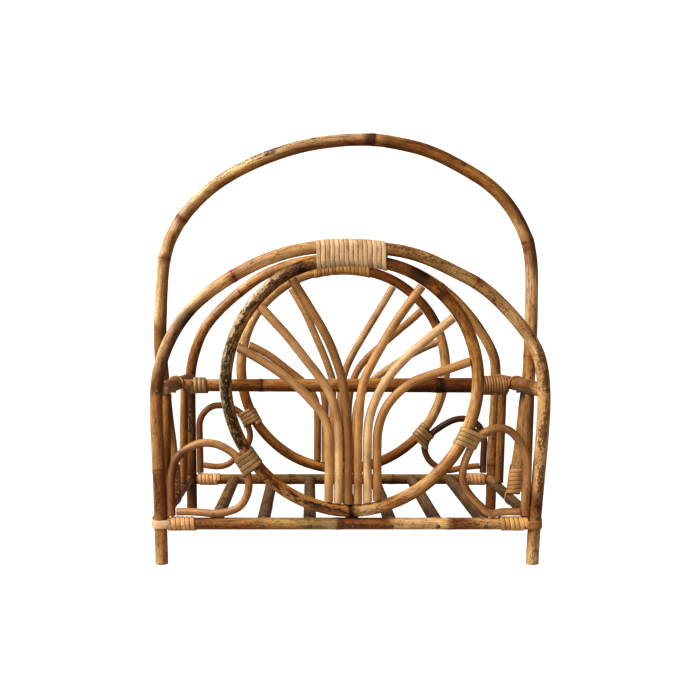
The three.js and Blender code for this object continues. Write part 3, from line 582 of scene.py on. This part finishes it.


# Rings. Inside each arch is one darker pole bent to a ring, its ends cut aslant and nailed
# together at the bottom. The front one keeps a rough, nearly black skin with pale scales on its
# left side, where its pale outer rim is painted highlight, and has two dry furrows beside the
# joint.
dark_bark = bark_material("dark bark", 0.5, 0.5, 0.7, 0.18, 0.6)
ash_and_highlight = (198, 178, 146)
front_ring_stops = [
    (0.0, char, char, 0.6, 1), (0.006, brown, gold, 0.5, 0.4), (0.015, cream_and_highlight, tan, 1.0, 0.4),
    (0.03, honey, tan, 1.0, 0.4), (0.05, gold, gold, 0.7, 0.3), (0.08, gold, honey, 0.4, 0.1),
    (0.13, brown, tan, 0.3, 0.1), (0.18, brown, honey, 0.3, 0.1),
    (0.225, brown, honey, 0.3, 0.3, 0.8), (0.28, gold, gold, 0.5, 0.3, 0.7),
    (0.33, brown, gold, 0.6, 0.4), (0.365, brown, gold, 0.8, 0.6),
    (0.374, russet, umber, 0.8, 0.8), (0.385, brown, orange, 0.8, 0.6),
    (0.398, umber, brown, 0.8, 0.72),
    (0.405, char, umber, 0.6, 0.6, 0), (0.42, char, umber, 0.6, 0.6, 0),
    (0.43, umber, brown, 0.6, 0.5), (0.45, umber, brown, 0.6, 0.4), (0.54, tan, brown, 0.5, 0.3),
    (0.556, gold, umber, 0.6, 0.5, 0), (0.566, umber, char, 0.6, 1.1, 0),
    # From 0.62 to 0.77 the pale outer colour is painted highlight along the lit outer rim; the
    # black blotches and pale scales over it are the skin's own.
    (0.576, olive, umber, 0.9, 0.8, -0.1), (0.62, ash_and_highlight, brown, 1.2, 0.78, -0.1),
    (0.67, ash_and_highlight, orange, 1.2, 0.85, -0.1), (0.69, ash_and_highlight, orange, 1.2, 1.05, 0.05),
    (0.72, ash_and_highlight, gold, 1.2, 1.35, 0.02), (0.77, ash_and_highlight, gold, 1.2, 1.35, 0.02),
    (0.82, olive, orange, 1.0, 1.2, 0.05), (0.845, tan, brown, 0.7, 0.85, -0.1),
    (0.86, gold, brown, 0.9, 0.85, 0), (0.885, gold, orange, 0.9, 0.64, 0),
    (0.91, tan, orange, 1.3, 0.6, 0), (0.94, gold, gold, 1.4, 0.62, 0),
    (0.97, orange, gold, 1.2, 0.62, 0.03), (0.994, orange, orange, 0.8, 0.62, 0.03),
    (1.0, char, char, 0.6, 0.6),
]
back_ring_stops = [
    (0.0, brown, gold, 0.3, 0.3), (0.12, russet, gold, 0.5, 0.4), (0.2, brown, orange, 0.4, 0.3),
    (0.3, sand, tan, 0.3, 0.1), (0.42, gold, tan, 0.3, 0.2), (0.56, russet, orange, 0.5, 0.5),
    (0.66, umber, orange, 0.5, 0.5), (0.71, gold, honey, 0.3, 0.15), (0.82, tan, honey, 0.3, 0.1),
    (0.9, russet, orange, 0.4, 0.3), (1.0, russet, gold, 0.4, 0.3),
]
ring_furrows = [(0.895, 0.997, 4.4, 0.8 * mm), (0.94, 0.997, 5.03, 0.6 * mm)]
rings = (("front_ring", front_ring_stops, ring_furrows), ("back_ring", back_ring_stops, ()))
for seed, (node, stops, furrows) in enumerate(rings, 5):
    seat(make_pole(node, stops, seed, cap=char, furrows=furrows), node, dark_bark)


# Bottom rails. A straight pole joins the two legs of each panel just above the floor, bound to
# them with cane. It carries the slats. The skin is left on, and the front one has a dark middle.
front_rail_stops = [
    (0.0, tan, gold, 0.5, 0.3), (0.1, brown, brown, 0.7, 0.4), (0.2, gold, russet, 0.7, 0.4),
    (0.33, olive, gold, 0.6, 0.3), (0.42, olive, olive, 0.5, 0.2), (0.468, olive, ash_and_highlight, 0.5, 0.3),
    (0.48, russet, brown, 0.7, 0.8), (0.56, brown, brown, 0.7, 0.6),
    (0.6, russet, brown, 0.7, 0.5), (0.64, honey, honey, 0.5, 0.3),
    (0.77, honey, honey, 0.5, 0.3), (0.8, brown, orange, 0.7, 0.5), (0.88, tan, tan, 0.7, 0.4),
    (1.0, tan, gold, 0.6, 0.4),
]
back_rail_stops = [(0.0, gold, brown, 0.6, 0.3), (0.3, olive, brown, 0.6, 0.4),
                   (0.5, olive, umber, 0.6, 0.3), (1.0, olive, umber, 0.6, 0.3)]
bottom_rails = (("front_bottom_rail", front_rail_stops), ("back_bottom_rail", back_rail_stops))
for seed, (node, stops) in enumerate(bottom_rails, 9):
    seat(make_pole(node, stops, seed), node, warm_bark)


# Fan sticks. Six thin peeled poles rise from the bottom of each ring and lean over to its inside,
# where they are cut to fit and nailed. Peeled rattan is smooth and pale.
peeled = bark_material("peeled core", 0.3, 0.26, 0.3, 0.35, 0.25)
fan_colours = {
    "front": [((176, 128, 78), (200, 152, 96)), ((182, 132, 82), (208, 162, 112)),
              ((150, 104, 56), (146, 100, 54)), ((188, 136, 82), (180, 130, 76)),
              ((206, 162, 112), (200, 156, 112)), ((178, 124, 68), (180, 130, 78))],
    "back": [((192, 142, 88), (190, 146, 102)), ((170, 118, 62), (164, 110, 60)),
             ((182, 130, 78), (198, 154, 106)), ((178, 130, 78), (192, 146, 92)),
             ((166, 118, 66), (164, 116, 64)), ((162, 112, 62), (160, 110, 60))],
}
for first_seed, side in ((20, "front"), (30, "back")):
    for i, (foot, tip) in enumerate(fan_colours[side]):
        node = f"{side}_fan_stick_{i + 1}"
        stops = [(0.0, foot, foot, 0.1, 0), (1.0, tip, tip, 0.1, 0)]
        seat(make_pole(node, stops, first_seed + i), node, peeled)


# Scrolls. A thin reddish pole, steamed and bent tight, stands on the bottom rail by each leg and
# loops over to the ring. It is bound there with cane.
scroll_skin = bark_material("scroll skin", 0.3, 0.3, 0.35, 0.4, 0.25)
copper, cocoa, bronze = (158, 108, 64), (84, 48, 26), (184, 132, 84)
scroll_stops = {
    "front_scroll_left": [(0.0, bronze, russet), (0.2, copper, umber), (0.28, bronze, copper),
                          (0.5, bronze, copper), (0.62, brown, copper), (0.75, copper, bronze),
                          (1.0, copper, bronze)],
    "front_scroll_right": [(0.0, bronze, copper), (0.3, bronze, brown), (0.5, bronze, copper),
                           (0.62, brown, copper), (0.75, copper, copper), (1.0, bronze, bronze)],
    "back_scroll_left": [(0.0, brown, copper), (0.2, brown, brown), (0.4, cocoa, cocoa),
                         (0.9, cocoa, cocoa), (1.0, brown, cocoa)],
    "back_scroll_right": [(0.0, brown, brown), (0.6, brown, copper), (1.0, bronze, copper)],
}
scroll_speckle, scroll_blotch = 0.4, 0.15
for seed, (node, stops) in enumerate(scroll_stops.items(), 50):
    stops = [(*stop, scroll_speckle, scroll_blotch) for stop in stops]
    faint_knuckles = (0.265,) if node == "front_scroll_left" else ()
    seat(make_pole(node, stops, seed, faint_knuckles), node, scroll_skin)


# Floor slats and lower side poles. Grey weathered poles run from the front rail to the back one.
# The seven slats are nailed through the rails, and the outer two poles carry the handle.
grey_bark = bark_material("grey bark", 0.5, 0.5, 0.8, 0.3, 0.5)
slate = (130, 100, 68)
# Each grey pole has front, middle and back colours and an underside colour; the darker underside
# is painted shade beneath the pole.
grey_poles = {f"floor_slat_{i}": (slate, slate, slate, umber) for i in range(1, 8)}
grey_poles["floor_slat_1"] = (slate, gold, gold, brown)
grey_poles["side_bottom_rail_left"] = (bronze, copper, copper, brown)
grey_poles["side_bottom_rail_right"] = (slate, slate, tan, umber)
grey_knuckle = (0.4,)
for seed, (node, (front, middle, back, underside_shade)) in enumerate(grey_poles.items(), 60):
    stops = [(0.0, front, umber, 0.7, 0.4), (0.36, slate, umber, 0.7, 0.5),
             (0.42, middle, underside_shade, 0.7, 0.4), (0.75, slate, underside_shade, 0.7, 0.4),
             (1.0, back, underside_shade, 0.7, 0.4)]
    seat(make_pole(node, stops, seed, grey_knuckle), node, grey_bark)


# Upper side poles and posts. One more pole with its skin on joins the two panels at each side,
# nailed to the arches, and two short posts hold it above the lower one.
side_stops = {
    "side_top_rail_left": [(0.0, bronze, bronze, 0.6, 0.3), (0.05, copper, copper, 0.6, 0.4),
                           (0.4, copper, brown, 0.6, 0.4), (1.0, brown, brown, 0.6, 0.4)],
    "side_top_rail_right": [(0.0, gold, copper, 0.8, 0.5), (1.0, gold, brown, 0.6, 0.4)],
    "side_post_front_left": [(0.0, gold, brown, 0.5, 0.4), (1.0, gold, brown, 0.5, 0.4)],
    "side_post_front_right": [(0.0, tan, orange, 0.6, 0.4), (1.0, tan, russet, 0.7, 0.4)],
    "side_post_back_left": [(0.0, gold, brown, 0.5, 0.3), (1.0, tan, brown, 0.5, 0.3)],
    "side_post_back_right": [(0.0, gold, umber, 0.6, 0.4), (1.0, gold, brown, 0.6, 0.3)],
}
for seed, (node, stops) in enumerate(side_stops.items(), 80):
    seat(make_pole(node, stops, seed), node, warm_bark)


# Handle. One long pole with its skin on, steamed and bent like the arches. Its feet stand on the
# lower side poles and are bound to them with cane, and it passes outside the upper ones.
# Over the top of the bend, 0.2 to 0.51, the cream outer colour is partly the skin's own pale tan
# and partly painted highlight of the lamp above.
handle_stops = [
    (0.0, gold, honey, 0.6, 0.3), (0.05, gold, tan, 0.5, 0.3), (0.09, umber, brown, 0.5, 0.3),
    (0.12, brown, brown, 0.5, 0.3), (0.16, gold, umber, 0.4, 0.2), (0.2, cream_and_highlight, brown, 0.3, 0.1),
    (0.26, cream_and_highlight, gold, 0.3, 0.1), (0.289, blush, gold, 0.4, 0.2),
    (0.296, copper, russet, 0.6, 0.45), (0.3, blush, brown, 0.6, 0.4, -0.5),
    (0.33, cream_and_highlight, gold, 0.5, 0.2, 0.9), (0.37, cream_and_highlight, orange, 0.9, 0.5, 0.8),
    (0.4, cream_and_highlight, orange, 1.0, 0.85, 0.75), (0.43, cream_and_highlight, brown, 1.0, 0.8, 0.8),
    (0.45, cream_and_highlight, brown, 0.7, 0.5, 0.9), (0.51, sand, russet, 0.7, 0.5, 0.9),
    (0.521, umber, umber, 0.5, 0.7, 0), (0.5255, umber, russet, 0.5, 0.6, 0),
    (0.528, honey, gold, 0.2, 0.1), (0.54, gold, umber, 0.5, 0.5, -0.9),
    (0.57, brown, brown, 0.6, 0.5, 0.9), (0.6, brown, brown, 0.7, 0.5, 0.8),
    (0.66, gold, orange, 0.9, 0.5, 0.8), (0.69, umber, gold, 0.8, 0.58, 1),
    (0.72, umber, honey, 0.5, 0.58, 1), (0.735, umber, tan, 0.5, 0.5, 0.9),
    (0.74, umber, orange, 0.5, 0.5, 0.8), (0.745, umber, honey, 0.5, 0.4, 0.8),
    (0.785, tan, blush, 0.2, 0.1, 1), (0.82, gold, honey, 0.3, 0.1), (0.85, brown, gold, 0.5, 0.3),
    (0.88, tan, gold, 0.6, 0.3), (0.93, honey, gold, 0.6, 0.3), (1.0, tan, tan, 0.7, 0.3),
]
seat(make_pole("handle", handle_stops, 95), "handle", warm_bark)


# Cross rail. A darker pole joins the upper side poles through the middle of the rack, bound to
# them with cane. It gets thicker to the right and has a black knot there.
cross_stops = [
    (0.0, gold, brown, 0.6, 0.4), (0.12, tan, brown, 0.8, 0.5), (0.2, brown, brown, 1.0, 0.5),
    (0.235, brown, brown, 1.0, 0.55), (0.242, umber, russet, 0.7, 0.5),
    (0.25, tan, brown, 0.4, 0.2), (0.3, gold, russet, 0.5, 0.2), (0.45, tan, orange, 0.4, 0.15),
    (0.6, gold, russet, 0.5, 0.3), (0.77, russet, umber, 0.6, 0.4), (0.794, char, char, 0.7, 0.9),
    (0.81, russet, umber, 0.6, 0.45), (1.0, umber, russet, 0.7, 0.5),
]
seat(make_pole("cross_rail", cross_stops, 97), "cross_rail", dark_bark)


# Lashings. Every joint of round poles is bound with one long strip of cane, the skin split off a
# rattan pole. It is wound wet, so it hugs the poles, its edges roll down, and it dries tight.
same_way = 0.9999


def read_strip(node):
    """Stations along a packed strip of cane: its middle, its width and where its face looks."""
    welded = packed_mesh(node)
    for face in welded.faces:
        first = set(face.verts)
        for edge in face.edges:
            other = next(f for f in edge.link_faces if f is not face)
            if other.normal.dot(face.normal) < same_way:
                continue
            layers = strip_layers(first | set(other.verts), len(welded.verts))
            if layers:
                stations = [strip_station(layer) for layer in layers]
                welded.free()
                return face_outwards(stations)
    raise ValueError("no end found on " + node)


def strip_layers(corners, total):
    """Follows a strip four corners at a time. Gives nothing if this isn't its end."""
    seen, layers = set(corners), [corners]
    while True:
        nearby = {e.other_vert(v) for v in layers[-1] for e in v.link_edges} - seen
        if not nearby:
            return layers if len(seen) == total else None
        if len(nearby) != 4:
            return None
        seen |= nearby
        layers.append(nearby)


def strip_station(corners):
    places = [corner.co.copy() for corner in corners]
    middle = sum(places, Vector()) / 4
    spans = sorted((a - places[0] for a in places[1:]), key=lambda span: span.length)
    return {"place": middle, "thick": spans[0].normalized(), "width": spans[1].length}


def face_outwards(stations):
    """Turns each station's face away from the poles that the strip goes round."""
    places = [station["place"] for station in stations]
    bends = []
    for i in range(1, len(places) - 1):
        bend = places[i] * 2 - places[i - 1] - places[i + 1]
        bends.append((bend.length * abs(bend.normalized().dot(stations[i]["thick"])), i, bend))
    _, best, bend = max(bends, key=lambda item: item[0])
    if stations[best]["thick"].dot(bend) < 0:
        stations[best]["thick"].negate()
    for order in (range(best + 1, len(places)), range(best - 1, -1, -1)):
        before = stations[best]
        for i in order:
            if stations[i]["thick"].dot(before["thick"]) < 0:
                stations[i]["thick"].negate()
            before = stations[i]
    return stations


def step_lengths(stations):
    return [(b["place"] - a["place"]).length for a, b in zip(stations, stations[1:])]


turn_stations = 10


def add_turns(stations, last, turns):
    """More turns of the same cane between the last turn and the loop that ties it off."""
    for i in range(turns * turn_stations):
        before = stations[last + i - turn_stations + 1]
        pitch = stations[last]["place"] - stations[last - turn_stations]["place"]
        stations.insert(last + i + 1, {**before, "place": before["place"] + pitch})


cane_step, look_ahead = 1.1 * mm, 0.3 * mm
cane_thick = 0.9 * mm
tucked_end = 1.5 * mm
hug, hug_change = 0.5 * mm, 0.2
long_stretch, strap_widening = 7 * mm, 8
loop_thicker, loop_thickening = 1.3 * mm, 9 * mm
turns_wide, strap_wider = 4, 3
cane_width_change, cane_thick_change = 0.06, 0.12
cane_wave, cane_waves = (9, 40), 4
shade_change, shade_wave = 0.1, 23 * mm
knot_every, knot_between, knot_scar = 260 * mm, (0.1, 0.9), 0.5
cane_speckle = 0.1
cane_grain_step = (7, 53)
# The rolled edges and underside of the cane are darkened: painted shadow in the thin gaps between
# turns.
edge_height, painted_gap_shade = -0.1, 0.42
cane_profile = [(-1, -0.5), (-1.0, edge_height), (-0.9, 0.24), (-0.6, 0.42), (0, 0.5),
                (0.6, 0.42), (0.9, 0.24), (1.0, edge_height), (1, -0.5), (0, -0.5)]


def wind_cane(node, tones_of_turns, seed, fuller, turns=0, strap=()):
    """A strip of cane with rolled edges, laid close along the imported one. It may have more turns
    than that one, and a wider strap where it leaves the turns. The two tones are of the turns and
    of the strap."""
    stations = read_strip(node)
    if strap and stations[0]["place"].x < stations[-1]["place"].x:
        stations.reverse()
    gaps = step_lengths(stations)
    turns_end = gaps.index(max(gaps))
    if turns:
        add_turns(stations, turns_end, turns)
        turns_end += turns * turn_stations
        gaps = step_lengths(stations)
    for i, wide in enumerate(strap):
        stations[turns_end + 1 + i]["width"] = wide * mm
    places = [station["place"] for station in stations]
    marks_at = distances(places)
    length = marks_at[-1]
    loop_start = marks_at[turns_end + 1]
    loop_bulge = loop_thicker if turns or strap else 0
    first, last = tucked_end, length - tucked_end
    count = int((last - first) / cane_step)
    dice = random.Random(seed)
    waves = [(dice.uniform(*any_turn), dice.uniform(*cane_wave) * mm) for _ in range(cane_waves)]
    knots = [dice.uniform(*knot_between) * length for _ in range(1 + int(length / knot_every))]
    sideways, onward = (seed * step for step in cane_grain_step)
    verts, grain, tones, marks = [], [], [], []
    k = 0
    for i in range(count + 1):
        at = first + (last - first) * i / count
        while k < len(places) - 2 and marks_at[k + 1] < at:
            k += 1
        t = min(max((at - marks_at[k]) / (marks_at[k + 1] - marks_at[k]), 0), 1)
        one, two = stations[k], stations[k + 1]
        way = (along_pole(places, min(at + look_ahead, length))
               - along_pole(places, max(at - look_ahead, 0))).normalized()
        face = one["thick"].lerp(two["thick"], t)
        face = (face - way * face.dot(way)).normalized()
        across = way.cross(face)
        sway = sum(math.sin(a + at / w) for a, w in waves) / cane_waves
        widening = t
        if gaps[k] > long_stretch and two["width"] > one["width"]:
            widening = min(t * strap_widening, 1)
        elif gaps[k] > long_stretch:
            widening = max(1 - (1 - t) * strap_widening, 0)
        width = one["width"] + (two["width"] - one["width"]) * widening
        of_strap = min(max((width / mm - turns_wide) / strap_wider, 0), 1)
        tone = linear(mix_values(*tones_of_turns, of_strap))
        width += (fuller + cane_width_change * sway) * mm * min(width / (turns_wide * mm), 1)
        bulge = loop_bulge * min(max((at - loop_start) / loop_thickening, 0), 1)
        thick = cane_thick * (1 + cane_thick_change * sway) + bulge
        centre = along_pole(places, at) - face * (hug * (1 - hug_change * sway) - bulge / 2)
        shade = 1 + shade_change * (math.sin(waves[0][0] + at / shade_wave) + sway)
        knot = nearness(at, knots, scar_reach)
        for u, v in cane_profile:
            verts.append(centre + across * (u * width / 2) + face * (v * thick))
            grain.append((u * width / 2 / mm + sideways, v * 2, at / mm + onward))
            # Painted shadow: the rolled edges and underside are darkened as in the gaps between
            # turns.
            edge = painted_gap_shade if v <= edge_height else 1
            tones.append((*[c * shade * edge for c in tone], 1))
            marks.append((knot * knot_scar, cane_speckle, 0.0, 0))
    faces = tube_faces(count + 1, len(cane_profile))
    return finish_piece(node + "_look", verts, faces, grain, tones, marks)


cane_skin = bark_material("cane skin", 0.4, 0.2, 0.2, 0.45, 0.3)
peach, straw = (210, 168, 128), (166, 126, 78)
rose, copper_cane = (216, 160, 106), (170, 116, 68)
cane_tones = {
    "front_top_lashing": ((210, 169, 126), peach), "back_top_lashing": ((196, 142, 78), peach),
    "front_scroll_lashing_left": ((146, 110, 66), straw),
    "front_scroll_lashing_right": ((178, 138, 88), straw),
    "back_scroll_lashing_left": (straw, straw), "back_scroll_lashing_right": (straw, straw),
    "front_rail_lashing_left": (rose, (220, 182, 142)),
    "front_rail_lashing_right": ((218, 164, 102), copper_cane),
    "back_rail_lashing_left": (rose, peach), "back_rail_lashing_right": (rose, peach),
    "handle_foot_lashing_left": (copper_cane, copper_cane),
    "handle_foot_lashing_right": ((216, 158, 98), peach),
    # This lashing's tones are lighter than its cane's own colour: painted light that lifts the
    # shadow the arch casts on it.
    "cross_rail_lashing_left": ((240, 184, 122), (250, 176, 106)),
    "cross_rail_lashing_right": ((240, 172, 104), peach),
}
usual_fuller = 0.62
special_winding = {"cross_rail_lashing_left": (usual_fuller, 0, (10, 8, 5)),
                   "cross_rail_lashing_right": (0.5, 3, ())}
for seed, (node, tones_of_turns) in enumerate(cane_tones.items(), 200):
    winding = special_winding.get(node, (usual_fuller,))
    seat(wind_cane(node, tones_of_turns, seed, *winding), node, cane_skin)


# Nails. The slats, the upper side poles and the legs' straps are nailed through. The heads are
# driven flush and have gone brown, and the dark ring round each head is painted shadow.
def nail_steel():
    """Dark steel with a brown bloom of rust."""
    material = bpy.data.materials.new("nail steel")
    material.use_nodes = True
    wire = Wiring(material.node_tree)
    shader = material.node_tree.nodes["Principled BSDF"]
    shader.inputs["Metallic"].default_value = 0.35
    grain, tone = (wire.add("ShaderNodeAttribute", attribute_name=label).outputs
                   for label in ("grain", "tone"))
    bloom = wire.noise(grain["Vector"], 1, 0.9, 3)
    rusty = wire.blend(wire.ramp(bloom, 0.45, 0.6), tone["Color"], (0.07, 0.03, 0.015, 1))
    wire.feed(shader, (("Base Color", rusty),
                       ("Roughness", wire.plus(0.4, wire.times(bloom, 0.3)))))
    return material


steel = nail_steel()
nail_sides = 12
nail_profile = [(2.4, -0.6), (2.3, 0.05), (1.8, 0.14), (1.6, 0.1), (1.4, 0.45), (0.9, 0.65),
                (0.3, 0.7)]
head_shadow_ring, dull_steel = (84, 54, 32), (122, 108, 92)
# The brown rim and the dark line inside it are painted shadow round the flush head; inside them is
# the head's dull steel.
nail_tones = [head_shadow_ring, head_shadow_ring, head_shadow_ring, char, dull_steel, dull_steel, dull_steel]


def drive_nail(name, pole, share, facing, turn=0.0):
    """A nail's head in the side of a pole that faces a way, turned round the pole by an angle."""
    line = pole_line[pole]
    place = line["length"] * share
    centre = along_pole(line["points"], place)
    way = (along_pole(line["points"], place + mm) - centre).normalized()
    out = (facing - way * facing.dot(way)).normalized()
    out = out * math.cos(turn) + way.cross(out) * math.sin(turn)
    across = way.cross(out)
    radius = line["radii"][0] + (line["radii"][1] - line["radii"][0]) * share
    radius *= pole_slimmer
    verts, grain, tones = [], [], []
    for (reach, proud), tone in zip(nail_profile, nail_tones):
        for j in range(nail_sides):
            turned = 2 * math.pi * j / nail_sides
            u, v = reach * math.cos(turned) * mm, reach * math.sin(turned) * mm
            sink = radius - math.sqrt(max(radius ** 2 - v ** 2, 0))
            verts.append(centre + out * (radius - sink + proud * mm) + way * u + across * v)
            grain.append((u / mm + place / mm, v / mm, proud))
            tones.append((*linear(tone), 1))
    faces = tube_faces(len(nail_profile), nail_sides)
    nail = finish_piece(name, verts, faces, grain, tones, [(0, 0, 0, 0)] * len(verts))
    nail.data.materials.append(steel)
    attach(nail, "root")


slat_nail_turn = 0.35
leg_nails = ((0.197, 0.3), (0.802, -0.5), (0.948, -0.2))
for side, ahead in (("front", -1), ("back", 1)):
    facing = Vector((0, ahead, 0))
    rail = side + "_bottom_rail"
    left = pole_line[rail]["points"][0].x
    for i in range(1, 8):
        low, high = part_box(f"floor_slat_{i}")
        share = ((low[0] + high[0]) / 2 - left) / pole_line[rail]["length"]
        drive_nail(f"{rail}_nail_{i}", rail, share, facing, -ahead * slat_nail_turn)
    for i, (share, turn) in enumerate(leg_nails, 1):
        drive_nail(f"{side}_leg_nail_{i}", side + "_arch", share, facing, turn)


# Floor and light. The floor is plain and pale, and melts into the white behind the rack. A large
# lamp high on the left is the main light, a wider one in front fills the shadows, and a warm dim
# surround does the rest.
floor_reach = 6.0
floor_grey = (0.4, 0.4, 0.4, 1)
floor_shine, floor_clear = 1.02, 0.96
floor_mesh = bpy.data.meshes.new("floor")
floor_mesh.from_pydata([(floor_reach * x, floor_reach * y, 0)
                        for x, y in ((-1, -1), (1, -1), (1, 1), (-1, 1))], [], [(0, 1, 2, 3)])
floor = bpy.data.objects.new("floor", floor_mesh)
floor_look = bpy.data.materials.new("white floor")
floor_look.use_nodes = True
floor_wire = Wiring(floor_look.node_tree)
floor_shader = floor_look.node_tree.nodes["Principled BSDF"]
floor_shader.inputs["Base Color"].default_value = floor_grey
floor_shader.inputs["Roughness"].default_value = 0.9
bright = floor_wire.add("ShaderNodeEmission", {"Color": (1, 1, 1, 1), "Strength": floor_shine})
looked_at = floor_wire.add("ShaderNodeLightPath").outputs["Is Camera Ray"]
floor_mix = floor_wire.add("ShaderNodeMixShader", links={
    0: floor_wire.times(looked_at, floor_clear), 1: floor_shader.outputs[0],
    2: bright.outputs[0]})
floor_wire.feed(floor_look.node_tree.nodes["Material Output"],
                (("Surface", floor_mix.outputs[0]),))
floor_mesh.materials.append(floor_look)
bpy.context.scene.collection.objects.link(floor)

surround_colour, surround_strength = (1, 0.94, 0.84, 1), 0.245
backdrop_strength = 1.05
world = bpy.data.worlds.new("studio")
bpy.context.scene.world = world
world.use_nodes = True
sky = Wiring(world.node_tree)
backdrop = sky.add("ShaderNodeBackground", {"Color": (1, 1, 1, 1), "Strength": backdrop_strength})
surround = world.node_tree.nodes["Background"]
surround.inputs["Color"].default_value = surround_colour
surround.inputs["Strength"].default_value = surround_strength
seen_straight = sky.add("ShaderNodeLightPath").outputs["Is Camera Ray"]
either = sky.add("ShaderNodeMixShader", links={
    0: seen_straight, 1: surround.outputs[0], 2: backdrop.outputs[0]})
sky.feed(world.node_tree.nodes["World Output"], (("Surface", either.outputs[0]),))

lamp_colour = (0.965, 1, 1)
lit_place = Vector((0, 0, 0.2))


def add_light(name, place, size, power):
    lamp = bpy.data.lights.new(name, "AREA")
    lamp.size, lamp.energy, lamp.color = size, power, lamp_colour
    lamp_object = bpy.data.objects.new(name, lamp)
    lamp_object.location = place
    lamp_object.rotation_euler = (lit_place - Vector(place)).to_track_quat("-Z", "Y").to_euler()
    bpy.context.scene.collection.objects.link(lamp_object)


add_light("key", (-1.7, -0.8, 1.9), 1.0, 76)
add_light("fill", (-0.4, -2.4, 1.3), 1.4, 17)
bpy.context.scene.view_settings.view_transform = "Standard"
bpy.context.scene.view_settings.look = "Medium High Contrast"
